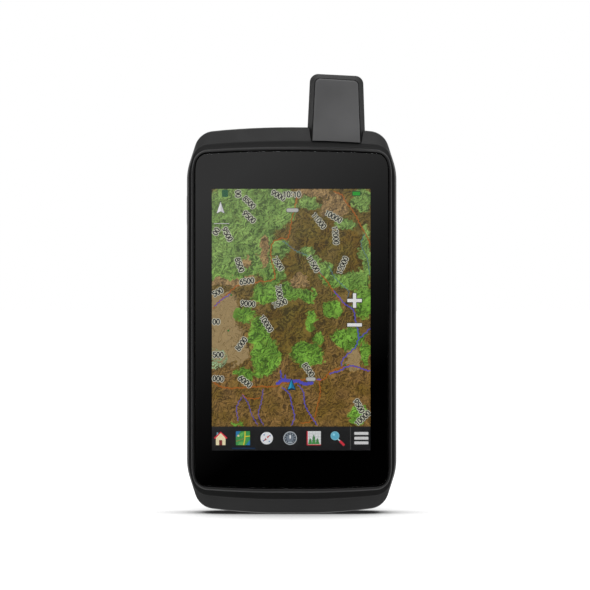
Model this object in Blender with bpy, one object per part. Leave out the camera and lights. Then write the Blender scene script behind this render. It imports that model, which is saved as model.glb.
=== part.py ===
"""Handheld GPS unit with a stub antenna, touch screen, side grips and a latched battery door.

Dimensions are in millimetres and become metres where each mesh is made. The unit stands on its
bottom edge: +Z is up, the screen faces -Y, and the origin is under the middle of the case.
"""

import math
from collections import namedtuple

import bmesh
import bpy
from mathutils import Matrix, Vector

MM = 0.001
GAP = 0.3  # left between any two pieces that touch on the real unit

# Outlines of the case, seen from the front. half is the half width, top and bottom the heights of
# the two crowned ends on the middle line, crown and keel their radii. The sides are upright
# between the knees and lean in by slant beyond them, up to corners of radius corner.
Outline = namedtuple("Outline", "half top bottom crown keel top_knee bottom_knee slant corner knee")
BODY = Outline(43.6, 160.8, 0.0, 340, 265, 142.7, 18.6, 0.341, 8.5, 25)
BAND = Outline(42.9, 155.0, 6.1, 420, 350, 142.2, 19.0, 0.290, 7.5, 22)
LIP = Outline(41.5, 152.2, 9.0, 560, 520, 142.8, 18.2, 0.220, 6.5, 20)
GLASS = Outline(40.0, 150.5, 10.9, 630, 612, 143.5, 17.5, 0.197, 5.0, 18)
POCKET = Outline(40.35, 150.85, 10.55, 630, 612, 143.5, 17.5, 0.197, 5.3, 18)
WINDOW = Outline(36.5, 146.0, 15.0, 900, 900, 141.0, 20.0, 0.100, 3.0, 6)
BACK = Outline(40.3, 154.0, 7.0, 400, 320, 141.5, 20.0, 0.330, 6.0, 20)
CAVITY = Outline(39.6, 158.2, 2.6, 360, 300, 142.0, 19.3, 0.330, 6.0, 22)
GROOVE = Outline(41.4, 159.9, 0.9, 340, 265, 142.7, 18.6, 0.341, 7.0, 25)
GROOVE_WIDTH, GROOVE_DEPTH, SEAL_GAP = 1.1, 1.4, 0.2
FOOT_HALF = 10.0  # the crowned bottom is flat between -FOOT_HALF and FOOT_HALF

# Depths, front to back.
LIP_CREST_Y = -16.5
GLASS_FRONT_Y, GLASS_BACK_Y = -16.15, -15.15
MASK_FRONT_Y, MASK_BACK_Y = -15.0, -14.6
SEAT_Y = -14.3  # floor of the pocket that the glass sits in
FRONT_CEILING_Y = -13.0
BAND_Y, LEDGE_Y = -11.7, -12.0
SIDE_FRONT_Y, SIDE_BACK_Y = -6.5, 9.0  # the widest part of the case lies between these
SPLIT_Y = 1.0
REAR_CEILING_Y = 12.0
PLATEAU_Y = 16.2
DOOR_CROWN_Y = 16.5

# Screen.
SCREEN_HALF, SCREEN_LOW, SCREEN_HIGH = 33.2, 25.8, 135.4

# Case screws: x, z and the bosses they run in.
SCREW_SPOTS = [(x * side, z) for x, z in ((33.5, 146.0), (37.6, 84.0), (36.6, 19.0)) for side in (-1, 1)]
BOSS_RADIUS, SHANK_RADIUS, HEAD_RADIUS = 2.5, 1.0, 1.9
SCREW_TIP_Y, HEAD_LOW_Y, HEAD_TOP_Y = -5.0, 12.6, 14.2

# Side grips: a base strip with raised pads level with the side of the case.
GRIP_LOW, GRIP_HIGH, GRIP_FRONT_Y, GRIP_BACK_Y = 43.5, 117.7, -7.5, 8.5
GRIP_THICK, PAD_PROUD, PAD_LENGTH, PAD_COUNT = 1.2, 0.31, 8.66, 5
PAD_PITCH = 13.8

# Power button in the left side.
BUTTON_LOW, BUTTON_HIGH, BUTTON_FRONT_Y, BUTTON_BACK_Y = 119.8, 132.7, -6.8, -1.0
BUTTON_PROUD, BUTTON_CORNER, BUTTON_SKIRT, BUTTON_BACK_X = 0.13, 2.2, 1.0, -38.3

# Stub antenna at the upper right: left and right edges at its top, and how they lean out below.
STUB_LEFT, STUB_RIGHT, STUB_TOP_LEFT, STUB_TOP_RIGHT = 7.7, 29.75, 183.1, 182.0
STUB_LOW, STUB_LEAN_LEFT, STUB_LEAN_RIGHT, STUB_CORNER = 148.0, 0.048, 0.032, 3.5
STUB_FRONT_Y, STUB_SHOULDER_Y, STUB_BACK_Y = -12.2, -7.9, 7.8
STUB_WALL, STUB_POCKET_Y, STUB_PANEL_Y = 3.2, -9.8, -11.2
COVER_INSET, COVER_BACK_Y, COVER_EDGE_Y, COVER_FACE_Y = 2.35, -11.5, -12.3, -12.55
ELEMENT_X, ELEMENT_Y, ELEMENT_BORE = 18.5, -3.9, 4.4

# Battery bay and door. The door turns on its rounded top edge, whose tabs hook under the case.
BAY_HALF, BAY_LOW, BAY_HIGH, BAY_FLOOR_Y, BAY_WALL = 27.5, 16.5, 109.5, 3.4, 1.5
DOOR_HALF, DOOR_LOW, DOOR_HIGH, DOOR_EDGE_RADIUS = 30.0, 14.0, 112.0, 1.3
DOOR_AXIS = Vector((0.0, 14.4, DOOR_HIGH - DOOR_EDGE_RADIUS))
TAB_X, TAB_HALF, TAB_REACH = 17.0, 3.5, 1.6
TAB_FRONT_Y, TAB_BACK_Y = 13.9, 14.9
DOOR_SEAT_Y, DOOR_SKIN_Y, DOOR_CORNER = 12.8, 13.1, 3.7
RIM_OUTER, RIM_THICK, RIM_LOW_Y, RIM_MARGIN = 25.8, 1.5, 10.5, 1.7
GASKET_OUTER, GASKET_FRONT_Y, GASKET_BACK_Y = 27.2, 11.0, 12.4
BATTERY_HALF, BATTERY_LOW, BATTERY_HIGH, BATTERY_FRONT_Y, BATTERY_BACK_Y = 23.6, 41.5, 105.4, 3.8, 12.6

# Door latch: a dish in the door, a quarter-turn stud in it and a folding ring.
LATCH_Z, DISH_RADIUS, DISH_FLOOR_Y, LATCH_BOSS_Y = 28.0, 11.3, 13.4, 11.2
STUD_RADIUS, STUD_END_Y, STUD_HEAD = 2.6, 7.9, 3.2
BRIDGE_HALF, BRIDGE_BELOW, BRIDGE_ABOVE = 2.8, 2.2, 2.1
CAM_HALF, CAM_REACH, CAM_FRONT_Y, CAM_BACK_Y = 3.6, 9.0, 8.2, 10.2
RING_AXIS_Y, RING_AXIS_Z, RING_WIRE = 14.9, 30.4, 0.8
RING_HALF, RING_DROP = 6.0, 11.8

# Weather caps in the back: x, z, half width, half height. Each turns on its lower edge.
CAP_EDGE, CAP_Y = 1.1, 15.1
USB_SPOT, USB_CAP_SIZE = (22.0, 123.0), (7.2, 4.2)
JACK_SPOT, JACK_CAP_SIZE = (22.0, 139.0), (4.5, 4.5)
CAP_FLOOR_Y = 13.7

# Mount plate: a T slot that a clip enters through the channel below the plate.
MOUNT_HALF, MOUNT_LOW, MOUNT_HIGH, MOUNT_BACK_Y, MOUNT_FACE_Y = 10.0, 119.0, 147.0, 13.2, 16.0
SLOT_HALF, SLOT_LIP, SLOT_FLOOR_Y, SLOT_LIP_Y, SLOT_TOP, ENTRY_LOW = 4.0, 2.0, 14.0, 15.0, 138.0, 113.8
MOUNT_SCREW_X, MOUNT_SCREW_Z, MOUNT_SCREW_SEAT_Y = 6.5, 142.8, 14.4

# Speaker mesh and powered contacts: x and z, half width and half height of each.
SPEAKER_SPOT, MESH_SIZE, MESH_FRONT_Y, MESH_BACK_Y = (-24.0, 136.0), (7.0, 4.0), 15.4, 16.0
MESH_SLOTS, MESH_PITCH, MESH_SLOT = 5, 1.9, (0.9, 4.4)
CONTACT_SPOT, CONTACT_SIZE, CONTACT_SEAT_Y = (-24.0, 121.0), (7.0, 3.0), 14.0
PAD_STEP, PAD_SIZE, PAD_WELL = 3.2, (0.95, 1.85), 0.25

# Socket and jack behind the caps.
SOCKET_SIZE, SOCKET_WALL, SOCKET_FRONT_Y, SOCKET_BACK_Y = (4.1, 1.9), 0.4, 6.5, 13.4
JACK_RADIUS, JACK_BORE, JACK_PIN = 2.5, 1.9, 0.5

# Inside, front to back: display, its light, a metal frame, the board and its ribbon.
PANEL_MARGIN, PANEL_LOW, PANEL_HIGH = 1.4, SCREEN_LOW - 2.8, SCREEN_HIGH + 3.1
PANEL_Y, LIGHT_Y, FRAME_Y, BOARD_Y = (-14.4, -12.4), (-12.1, -11.1), (-10.8, -9.6), (-7.6, -6.2)
BOARD_HALF, BOARD_LOW, BOARD_HIGH = 34.2, 22.6, 142.0
FRAME_HOLE, FRAME_PITCH, FRAME_FIRST = (25, 24), 27, (-26, 32)
CHIPS = [((-20, 60), (-6, 74)), ((4, 66), (14, 76)), ((-24, 88), (-14, 94)), ((8, 90), (22, 98)),
         ((-10, 34), (10, 39))]
CHIP_TOP_Y = -5.0
SHIELD_LOW, SHIELD_HIGH, SHIELD_WALL = Vector((-4.0, -5.9, 104.0)), Vector((30.0, -3.2, 134.0)), 0.4
SWITCH_LOW, SWITCH_HIGH = (-37.2, -8.2, 122.4), (-34.6, -0.6, 130.1)
RIBBON_THICK, RIBBON_HALF = 0.25, 9.0
CARD_LOW, CARD_HIGH = Vector((-9.0, 1.5, 62.0)), Vector((6.0, 3.2, 76.0))


# ---------------------------------------------------------------- outlines

def rounded(corners, steps):
    """Closed outline through corners (u, v, radius), with an arc of steps chords at each radius."""
    points = []
    for i, (u, v, radius) in enumerate(corners):
        here = Vector((u, v))
        if not radius:
            points.append(here)
            continue
        back = (Vector(corners[i - 1][:2]) - here).normalized()
        ahead = (Vector(corners[(i + 1) % len(corners)][:2]) - here).normalized()
        half = back.angle(ahead) / 2
        centre = here + (back + ahead).normalized() * radius / math.sin(half)
        spoke = here + back * radius / math.tan(half) - centre
        turn = (math.pi - 2 * half) * (1 if back.cross(ahead) < 0 else -1)
        points += [centre + Matrix.Rotation(turn * k / steps, 2) @ spoke for k in range(steps + 1)]
    return points


def case_outline(shape, steps=4):
    """Anticlockwise outline of the case, seen from the front."""
    def crown(x):
        return shape.top - x * x / (2 * shape.crown)

    def keel(x):
        return shape.bottom + (max(x * x, FOOT_HALF ** 2) - FOOT_HALF ** 2) / (2 * shape.keel)

    upper = shape.half - shape.slant * (crown(shape.half) - shape.top_knee)
    lower = shape.half - shape.slant * (shape.bottom_knee - keel(shape.half))
    half = [(lower, keel(lower), shape.corner), (shape.half, shape.bottom_knee, shape.knee),
            (shape.half, shape.top_knee, shape.knee), (upper, crown(upper), shape.corner)]
    keel_run = [0.8 * lower - FOOT_HALF * 0.4, FOOT_HALF]
    crown_run = [upper * share for share in (0.7, 0.35)]
    right = [(x, keel(x), 0) for x in reversed(keel_run)] + half + [(x, crown(x), 0) for x in crown_run]
    left = [(-x, z, radius) for x, z, radius in reversed(right)]
    return rounded(right + [(0, crown(0), 0)] + left, steps)


def mix(first, second, share):
    return Outline(*(a + (b - a) * share for a, b in zip(first, second)))


def inset(shape, by):
    return shape._replace(half=shape.half - by, top=shape.top - by, bottom=shape.bottom + by,
                          corner=max(shape.corner - by, 1.0))


def plate_outline(half, low, high, radius, steps=4, x=0.0):
    """Rounded rectangle, anticlockwise."""
    return rounded([(x + half, low, radius), (x + half, high, radius),
                    (x - half, high, radius), (x - half, low, radius)], steps)


def stub_outline(by, steps=4):
    """The antenna's outline, by mm inside its silhouette."""
    drop = STUB_TOP_LEFT - STUB_LOW
    return rounded([
        (STUB_RIGHT + STUB_LEAN_RIGHT * drop - by, STUB_LOW, 0),
        (STUB_RIGHT - by, STUB_TOP_RIGHT - by, max(STUB_CORNER - by * 0.6, 0.8)),
        (STUB_LEFT + by, STUB_TOP_LEFT - by, max(STUB_CORNER - by * 0.6, 0.8)),
        (STUB_LEFT - STUB_LEAN_LEFT * drop + by, STUB_LOW, 0)], steps)


def at_depth(outline, y):
    """An (x, z) outline as points at depth y."""
    return [Vector((u, y, v)) for u, v in outline]


def case_ring(shape, y):
    return at_depth(case_outline(shape), y)


# ---------------------------------------------------------------- solids

def loft(rings, closed=False):
    """Mesh through rings of equal length: closed joins the last to the first, else both are capped."""
    shape = bmesh.new()
    rows = [[shape.verts.new(point) for point in ring] for ring in rings]
    pairs = list(zip(rows, rows[1:])) + ([(rows[-1], rows[0])] if closed else [])
    for low, high in pairs:
        for i in range(len(low)):
            shape.faces.new((low[i - 1], low[i], high[i], high[i - 1]))
    if not closed:
        shape.faces.new(rows[0])
        shape.faces.new(reversed(rows[-1]))
    bmesh.ops.recalc_face_normals(shape, faces=shape.faces)
    return shape


def prism(outline, y_low, y_high):
    """An (x, z) outline pushed along Y."""
    return loft([at_depth(outline, y_low), at_depth(outline, y_high)])


def strip(outline, x_low, x_high):
    """A (y, z) outline pushed along X."""
    return loft([[Vector((x, u, v)) for u, v in outline] for x in (x_low, x_high)])


def block(low, high):
    return prism([(low[0], low[2]), (high[0], low[2]), (high[0], high[2]), (low[0], high[2])], low[1], high[1])


def circle(radius, sides, u=0.0, v=0.0):
    return [(u + radius * math.cos(math.tau * k / sides), v + radius * math.sin(math.tau * k / sides))
            for k in range(sides)]


def rod(x, z, radius, y_low, y_high, sides=16):
    """A round bar along Y."""
    return prism(circle(radius, sides, x, z), y_low, y_high)


def cross_rod(y, z, radius, x_low, x_high, sides=16):
    """A round bar along X."""
    return strip(circle(radius, sides, y, z), x_low, x_high)


def turned(profile, x, z, sides=20):
    """Solid of revolution about a line along Y through (x, z). profile is (radius, y), end to end."""
    return loft([at_depth(circle(radius, sides, x, z), y) for radius, y in profile])


def gathered(*shapes):
    """Several closed solids in one mesh, for a cutter."""
    whole = bmesh.new()
    for shape in shapes:
        copy = bpy.data.meshes.new("gathered")
        shape.to_mesh(copy)
        shape.free()
        whole.from_mesh(copy)
        bpy.data.meshes.remove(copy)
    return whole


def scene_object(name, shape, pivot=(0, 0, 0)):
    shape.transform(Matrix.Scale(MM, 4) @ Matrix.Translation(-Vector(pivot)))
    mesh = bpy.data.meshes.new(name)
    shape.to_mesh(mesh)
    shape.free()
    thing = bpy.data.objects.new(name, mesh)
    thing.location = Vector(pivot) * MM
    bpy.context.scene.collection.objects.link(thing)
    return thing


def paint(name, colour, roughness, metallic=0.0):
    material = bpy.data.materials.new(name)
    material.use_nodes = True
    shader = material.node_tree.nodes["Principled BSDF"]
    shader.inputs["Base Color"].default_value = (*colour, 1.0)
    shader.inputs["Roughness"].default_value = roughness
    shader.inputs["Metallic"].default_value = metallic
    material.diffuse_color = (*colour, 1.0)
    return material


def piece(name, shape, colour, roughness, metallic=0.0, pivot=(0, 0, 0), bevel=0.0, parent=None):
    """A named sub-part with its own material and its origin at pivot."""
    thing = scene_object(name, shape, pivot)
    thing.data.materials.append(paint(name, colour, roughness, metallic))
    thing.data.shade_smooth()
    thing.data.set_sharp_from_angle(angle=math.radians(32))
    if bevel:
        edge = thing.modifiers.new("edges", "BEVEL")
        edge.width = bevel * MM
        edge.segments = 1
        edge.limit_method = "ANGLE"
        edge.angle_limit = math.radians(40)
    if parent:
        thing.parent = parent
        bpy.context.view_layer.update()
        thing.matrix_parent_inverse = parent.matrix_world.inverted()
    return thing


def combine(thing, operation, *shapes):
    """Adds or cuts each shape with a Boolean whose operand stays in the file, hidden."""
    for shape in shapes:
        tool = scene_object(f"{thing.name}_{operation.lower()}", shape)
        tool.hide_render = True
        tool.display_type = "WIRE"
        step = thing.modifiers.new(operation.lower(), "BOOLEAN")
        step.operation = operation
        step.solver = "EXACT"
        step.object = tool


# ---------------------------------------------------------------- case

def case_envelope(by):
    """The case's outer skin, by mm larger all round, as one solid."""
    return loft([case_ring(inset(shape, -by), y) for shape, y in (
        (LIP, LIP_CREST_Y), (LIP, LEDGE_Y), (BAND, BAND_Y), (mix(BAND, BODY, 0.72), -9.2),
        (BODY, SIDE_FRONT_Y), (BODY, SIDE_BACK_Y), (mix(BODY, BACK, 0.25), 12.2),
        (mix(BODY, BACK, 0.65), 14.8), (BACK, PLATEAU_Y))])


def grip_recess(y_low, y_high):
    low, high = GRIP_LOW - GAP, GRIP_HIGH + GAP
    floor = BODY.half - PAD_PROUD - GRIP_THICK - GAP
    outside = BODY.half + 2.4
    return gathered(block((-outside, y_low, low), (-floor, y_high, high)),
                    block((floor, y_low, low), (outside, y_high, high)))


def front_housing():
    rings = [
        (BODY, SPLIT_Y), (BODY, SIDE_FRONT_Y), (mix(BAND, BODY, 0.72), -9.2), (BAND, BAND_Y),
        (LIP, LEDGE_Y), (LIP, -15.2), (inset(LIP, 0.25), -16.1), (inset(LIP, 0.7), LIP_CREST_Y),
        (POCKET, -16.2), (POCKET, SEAT_Y), (WINDOW, SEAT_Y), (WINDOW, FRONT_CEILING_Y),
        (inset(LIP, 2.3), FRONT_CEILING_Y), (mix(inset(LIP, 2.3), CAVITY, 0.75), -8.5), (CAVITY, SPLIT_Y)]
    case = piece("front_housing", loft([case_ring(shape, y) for shape, y in rings], closed=True),
                 (0.035, 0.036, 0.038), 0.55)
    for x, z in SCREW_SPOTS:
        combine(case, "UNION", rod(x, z, BOSS_RADIUS, FRONT_CEILING_Y - 0.6, SPLIT_Y))
    shanks = [rod(x, z, SHANK_RADIUS + GAP, SCREW_TIP_Y - GAP, SPLIT_Y + 2, 12) for x, z in SCREW_SPOTS]
    window = block((-BODY.half - 2.4, BUTTON_FRONT_Y - GAP, BUTTON_LOW - GAP),
                   (BUTTON_BACK_X + 1.3, BUTTON_BACK_Y + GAP, BUTTON_HIGH + GAP))
    neck = circle(ELEMENT_BORE, 16, ELEMENT_X, ELEMENT_Y)
    bore = loft([[Vector((u, v, z)) for u, v in neck] for z in (CAVITY.top - 8, CAVITY.top + 7)])
    combine(case, "DIFFERENCE", gathered(*shanks), grip_recess(GRIP_FRONT_Y - GAP, SPLIT_Y + 2),
            gathered(window, bore))


def rear_housing():
    edge_y = SPLIT_Y + GAP
    inner = inset(GROOVE, GROOVE_WIDTH)
    floor_y = edge_y + GROOVE_DEPTH
    groove = [(inner, edge_y), (inner, floor_y), (GROOVE, floor_y), (GROOVE, edge_y)]
    rings = [(mix(CAVITY, BACK, 0.45), REAR_CEILING_Y), (CAVITY, 8.5), (CAVITY, edge_y), *groove,
             (BODY, edge_y), (BODY, SIDE_BACK_Y), (mix(BODY, BACK, 0.25), 12.2),
             (mix(BODY, BACK, 0.65), 14.8), (BACK, PLATEAU_Y)]
    case = piece("rear_housing", loft([case_ring(shape, y) for shape, y in rings]), (0.035, 0.036, 0.038), 0.6)
    wall = BAY_WALL
    bay = block((-BAY_HALF - wall, BAY_FLOOR_Y - wall, BAY_LOW - wall),
                (BAY_HALF + wall, REAR_CEILING_Y + 1, BAY_HIGH + wall))
    combine(case, "UNION", bay,
            *(rod(x, z, BOSS_RADIUS, SPLIT_Y + GAP, REAR_CEILING_Y + 1) for x, z in SCREW_SPOTS))
    around = plate_outline(DOOR_HALF + GAP, DOOR_LOW - GAP, DOOR_HIGH + GAP, DOOR_CORNER + GAP)
    seat = prism(around, DOOR_SEAT_Y, 20)
    tab_reach = TAB_HALF + GAP
    slots = [block((x - tab_reach, TAB_FRONT_Y - 2.3, DOOR_HIGH - 3.5),
                   (x + tab_reach, TAB_BACK_Y + GAP, DOOR_HIGH + TAB_REACH + 0.4)) for x in (-TAB_X, TAB_X)]
    card_seat = block(CARD_LOW - Vector((0.4, 1.5, 0.4)), CARD_HIGH + Vector((0.4, 1.8, 0.4)))
    combine(case, "DIFFERENCE",
            prism(plate_outline(BAY_HALF, BAY_LOW, BAY_HIGH, 3.0), BAY_FLOOR_Y, 20),
            seat, gathered(*slots),
            gathered(*(rod(x, z, SHANK_RADIUS + GAP, -1, 20, 12) for x, z in SCREW_SPOTS)),
            gathered(*(rod(x, z, HEAD_RADIUS + GAP, HEAD_LOW_Y - GAP, 20) for x, z in SCREW_SPOTS)),
            grip_recess(-2, GRIP_BACK_Y + GAP),
            cap_recesses(), back_pockets(), mount_entry(), card_seat)


def cap_recesses():
    """Seats of the two weather caps, with the holes for the socket and the jack behind them."""
    shapes = []
    for (x, z), (half, tall) in ((USB_SPOT, USB_CAP_SIZE), (JACK_SPOT, JACK_CAP_SIZE)):
        seat = plate_outline(half + GAP, z - tall - GAP, z + tall + GAP, 0.3, 1, x=x)
        shapes.append(prism(seat, CAP_FLOOR_Y, 20))
    return gathered(*shapes)


def back_pockets():
    """Seats of the mount plate, the speaker mesh and the contact block, and the holes behind them."""
    around = plate_outline(MOUNT_HALF + GAP, MOUNT_LOW - GAP, MOUNT_HIGH + GAP, 2.5)
    shapes = [prism(around, MOUNT_BACK_Y - GAP, 20)]
    for (x, z), (half, tall), corner, floor in ((SPEAKER_SPOT, MESH_SIZE, 2.0, MESH_FRONT_Y - GAP),
                                                (CONTACT_SPOT, CONTACT_SIZE, 1.5, CONTACT_SEAT_Y)):
        shapes.append(prism(plate_outline(half + GAP, z - tall - GAP, z + tall + GAP, corner, x=x), floor, 20))
    return gathered(*shapes)


def mount_entry():
    """The channel through which a clip's head comes in under the mount plate's lips."""
    half = SLOT_HALF + SLOT_LIP
    return block((-half, SLOT_FLOOR_Y, ENTRY_LOW), (half, 20, MOUNT_LOW))


def rear_holes():
    """Holes through the back wall: sound port, socket and jack."""
    case = bpy.data.objects["rear_housing"]
    x, z = SPEAKER_SPOT
    u, v = USB_SPOT
    room = 0.5
    half, tall = SOCKET_SIZE
    sides = (-MOUNT_SCREW_X, MOUNT_SCREW_X)
    screws = [rod(side, MOUNT_SCREW_Z, SHANK_RADIUS + GAP, 5, 14, 12) for side in sides]
    combine(case, "DIFFERENCE", gathered(
        prism(plate_outline(5.0, z - 2.5, z + 2.5, 1.0, x=x), 5, MESH_BACK_Y),
        prism(plate_outline(half + room, v - tall - room, v + tall + room, 0.8, x=u), 5, CAP_FLOOR_Y + 0.8),
        rod(*JACK_SPOT, JACK_RADIUS + 0.4, 5, CAP_FLOOR_Y + 0.8)), gathered(*screws))


def housing_gasket():
    outer, inner = inset(GROOVE, SEAL_GAP), inset(GROOVE, GROOVE_WIDTH - SEAL_GAP)
    low, high = SPLIT_Y + SEAL_GAP, SPLIT_Y + GAP + GROOVE_DEPTH - SEAL_GAP
    rings = [case_ring(outer, low), case_ring(outer, high), case_ring(inner, high), case_ring(inner, low)]
    piece("housing_gasket", loft(rings, closed=True), (0.15, 0.15, 0.16), 0.8)


def housing_screws():
    for number, (x, z) in enumerate(SCREW_SPOTS, 1):
        screw_piece(f"housing_screw_{number}", x, z, SCREW_TIP_Y, HEAD_LOW_Y, HEAD_TOP_Y)


def screw_piece(name, x, z, tip_y, head_low_y, head_top_y):
    """A pan-head screw along Y with a six-lobed drive, drawn as a hexagon."""
    profile = [(SHANK_RADIUS * 0.5, tip_y), (SHANK_RADIUS, tip_y + 1), (SHANK_RADIUS, head_low_y),
               (HEAD_RADIUS, head_low_y), (HEAD_RADIUS, head_top_y - 0.5), (HEAD_RADIUS * 0.75, head_top_y)]
    screw = piece(name, turned(profile, x, z, 12), (0.1, 0.1, 0.11), 0.35, 1.0)
    combine(screw, "DIFFERENCE", rod(x, z, 0.85, head_top_y - 0.9, head_top_y + 1, 6))


# ---------------------------------------------------------------- screen and inside

def cover_glass():
    edge = 0.25
    rings = [case_ring(inset(GLASS, edge), GLASS_FRONT_Y), case_ring(GLASS, GLASS_FRONT_Y + edge),
             case_ring(GLASS, GLASS_BACK_Y)]
    piece("cover_glass", loft(rings), (0.02, 0.02, 0.02), 0.05)


def bezel_mask():
    frame = piece("bezel_mask", loft([case_ring(inset(GLASS, 0.3), y) for y in (MASK_FRONT_Y, MASK_BACK_Y)]),
                  (0.005, 0.005, 0.005), 0.4)
    combine(frame, "DIFFERENCE",
            block((-SCREEN_HALF, -17, SCREEN_LOW), (SCREEN_HALF, -12, SCREEN_HIGH)))


def display():
    outline = plate_outline(SCREEN_HALF + PANEL_MARGIN, PANEL_LOW, PANEL_HIGH, 0.6, 1)
    piece("display_panel", prism(outline, *PANEL_Y), (0.25, 0.3, 0.2), 0.3)
    piece("display_backlight", prism(outline, *LIGHT_Y), (0.75, 0.75, 0.76), 0.4, 0.6)


def mid_frame():
    outline = plate_outline(SCREEN_HALF + PANEL_MARGIN, BOARD_LOW, BOARD_HIGH, 3.0)
    frame = piece("mid_frame", prism(outline, *FRAME_Y), (0.6, 0.6, 0.62), 0.4, 1.0)
    wide, tall = FRAME_HOLE
    holes = []
    for i in range(2):
        for k in range(4):
            x, z = FRAME_FIRST[0] + FRAME_PITCH * i, FRAME_FIRST[1] + FRAME_PITCH * k
            holes.append(block((x, FRAME_Y[0] - 1, z), (x + wide, FRAME_Y[1] + 1, z + tall)))
    combine(frame, "DIFFERENCE", gathered(*holes))


def main_board():
    outline = plate_outline(BOARD_HALF, BOARD_LOW, BOARD_HIGH, 2.0)
    board = piece("main_board", prism(outline, *BOARD_Y), (0.02, 0.12, 0.05), 0.5)
    for (x_low, z_low), (x_high, z_high) in CHIPS:
        combine(board, "UNION", block((x_low, BOARD_Y[1] - 0.4, z_low), (x_high, CHIP_TOP_Y, z_high)))
    shield = piece("rf_shield", block(SHIELD_LOW, SHIELD_HIGH), (0.7, 0.7, 0.7), 0.35, 1.0)
    wall = Vector((SHIELD_WALL, SHIELD_WALL, SHIELD_WALL))
    combine(shield, "DIFFERENCE", block(SHIELD_LOW + wall - Vector((0, 2.5, 0)), SHIELD_HIGH - wall))
    piece("power_switch", block(SWITCH_LOW, SWITCH_HIGH), (0.1, 0.1, 0.1), 0.5, bevel=0.4)


def display_flex():
    """Ribbon from the foot of the display, round the end of the board, to a connector on its back."""
    thick = RIBBON_THICK
    path = [(-13.4, 22.6), (-13.4, 20.4), (-10.5, 18.2), (-7.0, 18.2), (-5.6, 19.8), (-5.6, 31.0)]
    inner = [(-13.4 + thick, 22.6), (-13.4 + thick, 20.5), (-10.4, 18.2 + thick), (-7.1, 18.2 + thick),
             (-5.6 - thick, 19.9), (-5.6 - thick, 31.0)]
    piece("display_flex", strip(path + inner[::-1], -RIBBON_HALF, RIBBON_HALF), (0.45, 0.2, 0.05), 0.4)


def speaker():
    x, z = SPEAKER_SPOT
    half, tall = MESH_SIZE
    cone = [(7.0, 6.6), (9.0, 7.6), (9.0, 11.0), (8.0, 11.6)]
    piece("speaker", turned(cone, x, z, 24), (0.08, 0.08, 0.09), 0.5)
    outline = plate_outline(half, z - tall, z + tall, 1.7, x=x)
    mesh = piece("speaker_mesh", prism(outline, MESH_FRONT_Y, MESH_BACK_Y), (0.2, 0.2, 0.21), 0.4, 1.0)
    wide, high = MESH_SLOT
    slots = []
    for k in range(MESH_SLOTS):
        u = x + MESH_PITCH * (k - (MESH_SLOTS - 1) / 2)
        slots.append(block((u - wide / 2, MESH_FRONT_Y - 1, z - high / 2),
                           (u + wide / 2, MESH_BACK_Y + 1, z + high / 2)))
    combine(mesh, "DIFFERENCE", gathered(*slots))


def memory_card_holder():
    """A sheet-metal tray, open at its lower end, with a notch in its lid for a thumb."""
    holder = piece("memory_card_holder", block(CARD_LOW, CARD_HIGH), (0.7, 0.7, 0.72), 0.3, 1.0)
    tray = block(CARD_LOW + Vector((2.0, 0.4, -2.0)), CARD_HIGH - Vector((2.0, 0.4, 1.4)))
    notch = block(CARD_LOW + Vector((5.0, 0.9, -2.0)), CARD_HIGH - Vector((5.0, -0.8, 10.0)))
    combine(holder, "DIFFERENCE", tray, notch)


# ---------------------------------------------------------------- sides

def grips():
    for name, side in (("left_grip", -1), ("right_grip", 1)):
        outer = BODY.half - PAD_PROUD
        profile = [(outer - GRIP_THICK, GRIP_LOW), (outer, GRIP_LOW)]
        first = (GRIP_LOW + GRIP_HIGH) / 2 - PAD_PITCH * (PAD_COUNT - 1) / 2
        for k in range(PAD_COUNT):
            middle = first + PAD_PITCH * k
            foot, crest = PAD_LENGTH / 2 + 0.25, PAD_LENGTH / 2 - 0.25
            profile += [(outer, middle - foot), (BODY.half, middle - crest), (BODY.half, middle + crest),
                        (outer, middle + foot)]
        profile += [(outer, GRIP_HIGH), (outer - GRIP_THICK, GRIP_HIGH)]
        rings = [[Vector((side * x, y, z)) for x, z in profile] for y in (GRIP_FRONT_Y, GRIP_BACK_Y)]
        piece(name, loft(rings), (0.03, 0.03, 0.03), 0.75)


def power_button():
    def outline(grow, radius):
        y_low, y_high = BUTTON_FRONT_Y - grow, BUTTON_BACK_Y + grow
        z_low, z_high = BUTTON_LOW - grow, BUTTON_HIGH + grow
        return rounded([(y_high, z_low, radius), (y_high, z_high, radius),
                        (y_low, z_high, radius), (y_low, z_low, radius)], 4)

    x_face, x_wall = -BODY.half - BUTTON_PROUD, -CAVITY.half + GAP
    rings = [(outline(-0.4, BUTTON_CORNER - 0.4), x_face), (outline(0, BUTTON_CORNER), x_face + 0.35),
             (outline(0, BUTTON_CORNER), x_wall), (outline(BUTTON_SKIRT, BUTTON_CORNER), x_wall),
             (outline(BUTTON_SKIRT, BUTTON_CORNER), BUTTON_BACK_X)]
    pivot = (x_face, (BUTTON_FRONT_Y + BUTTON_BACK_Y) / 2, (BUTTON_LOW + BUTTON_HIGH) / 2)
    piece("power_button", loft([[Vector((x, u, v)) for u, v in ring] for ring, x in rings]), (0.03, 0.03, 0.03),
          0.6, pivot=pivot)


# ---------------------------------------------------------------- antenna

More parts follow.
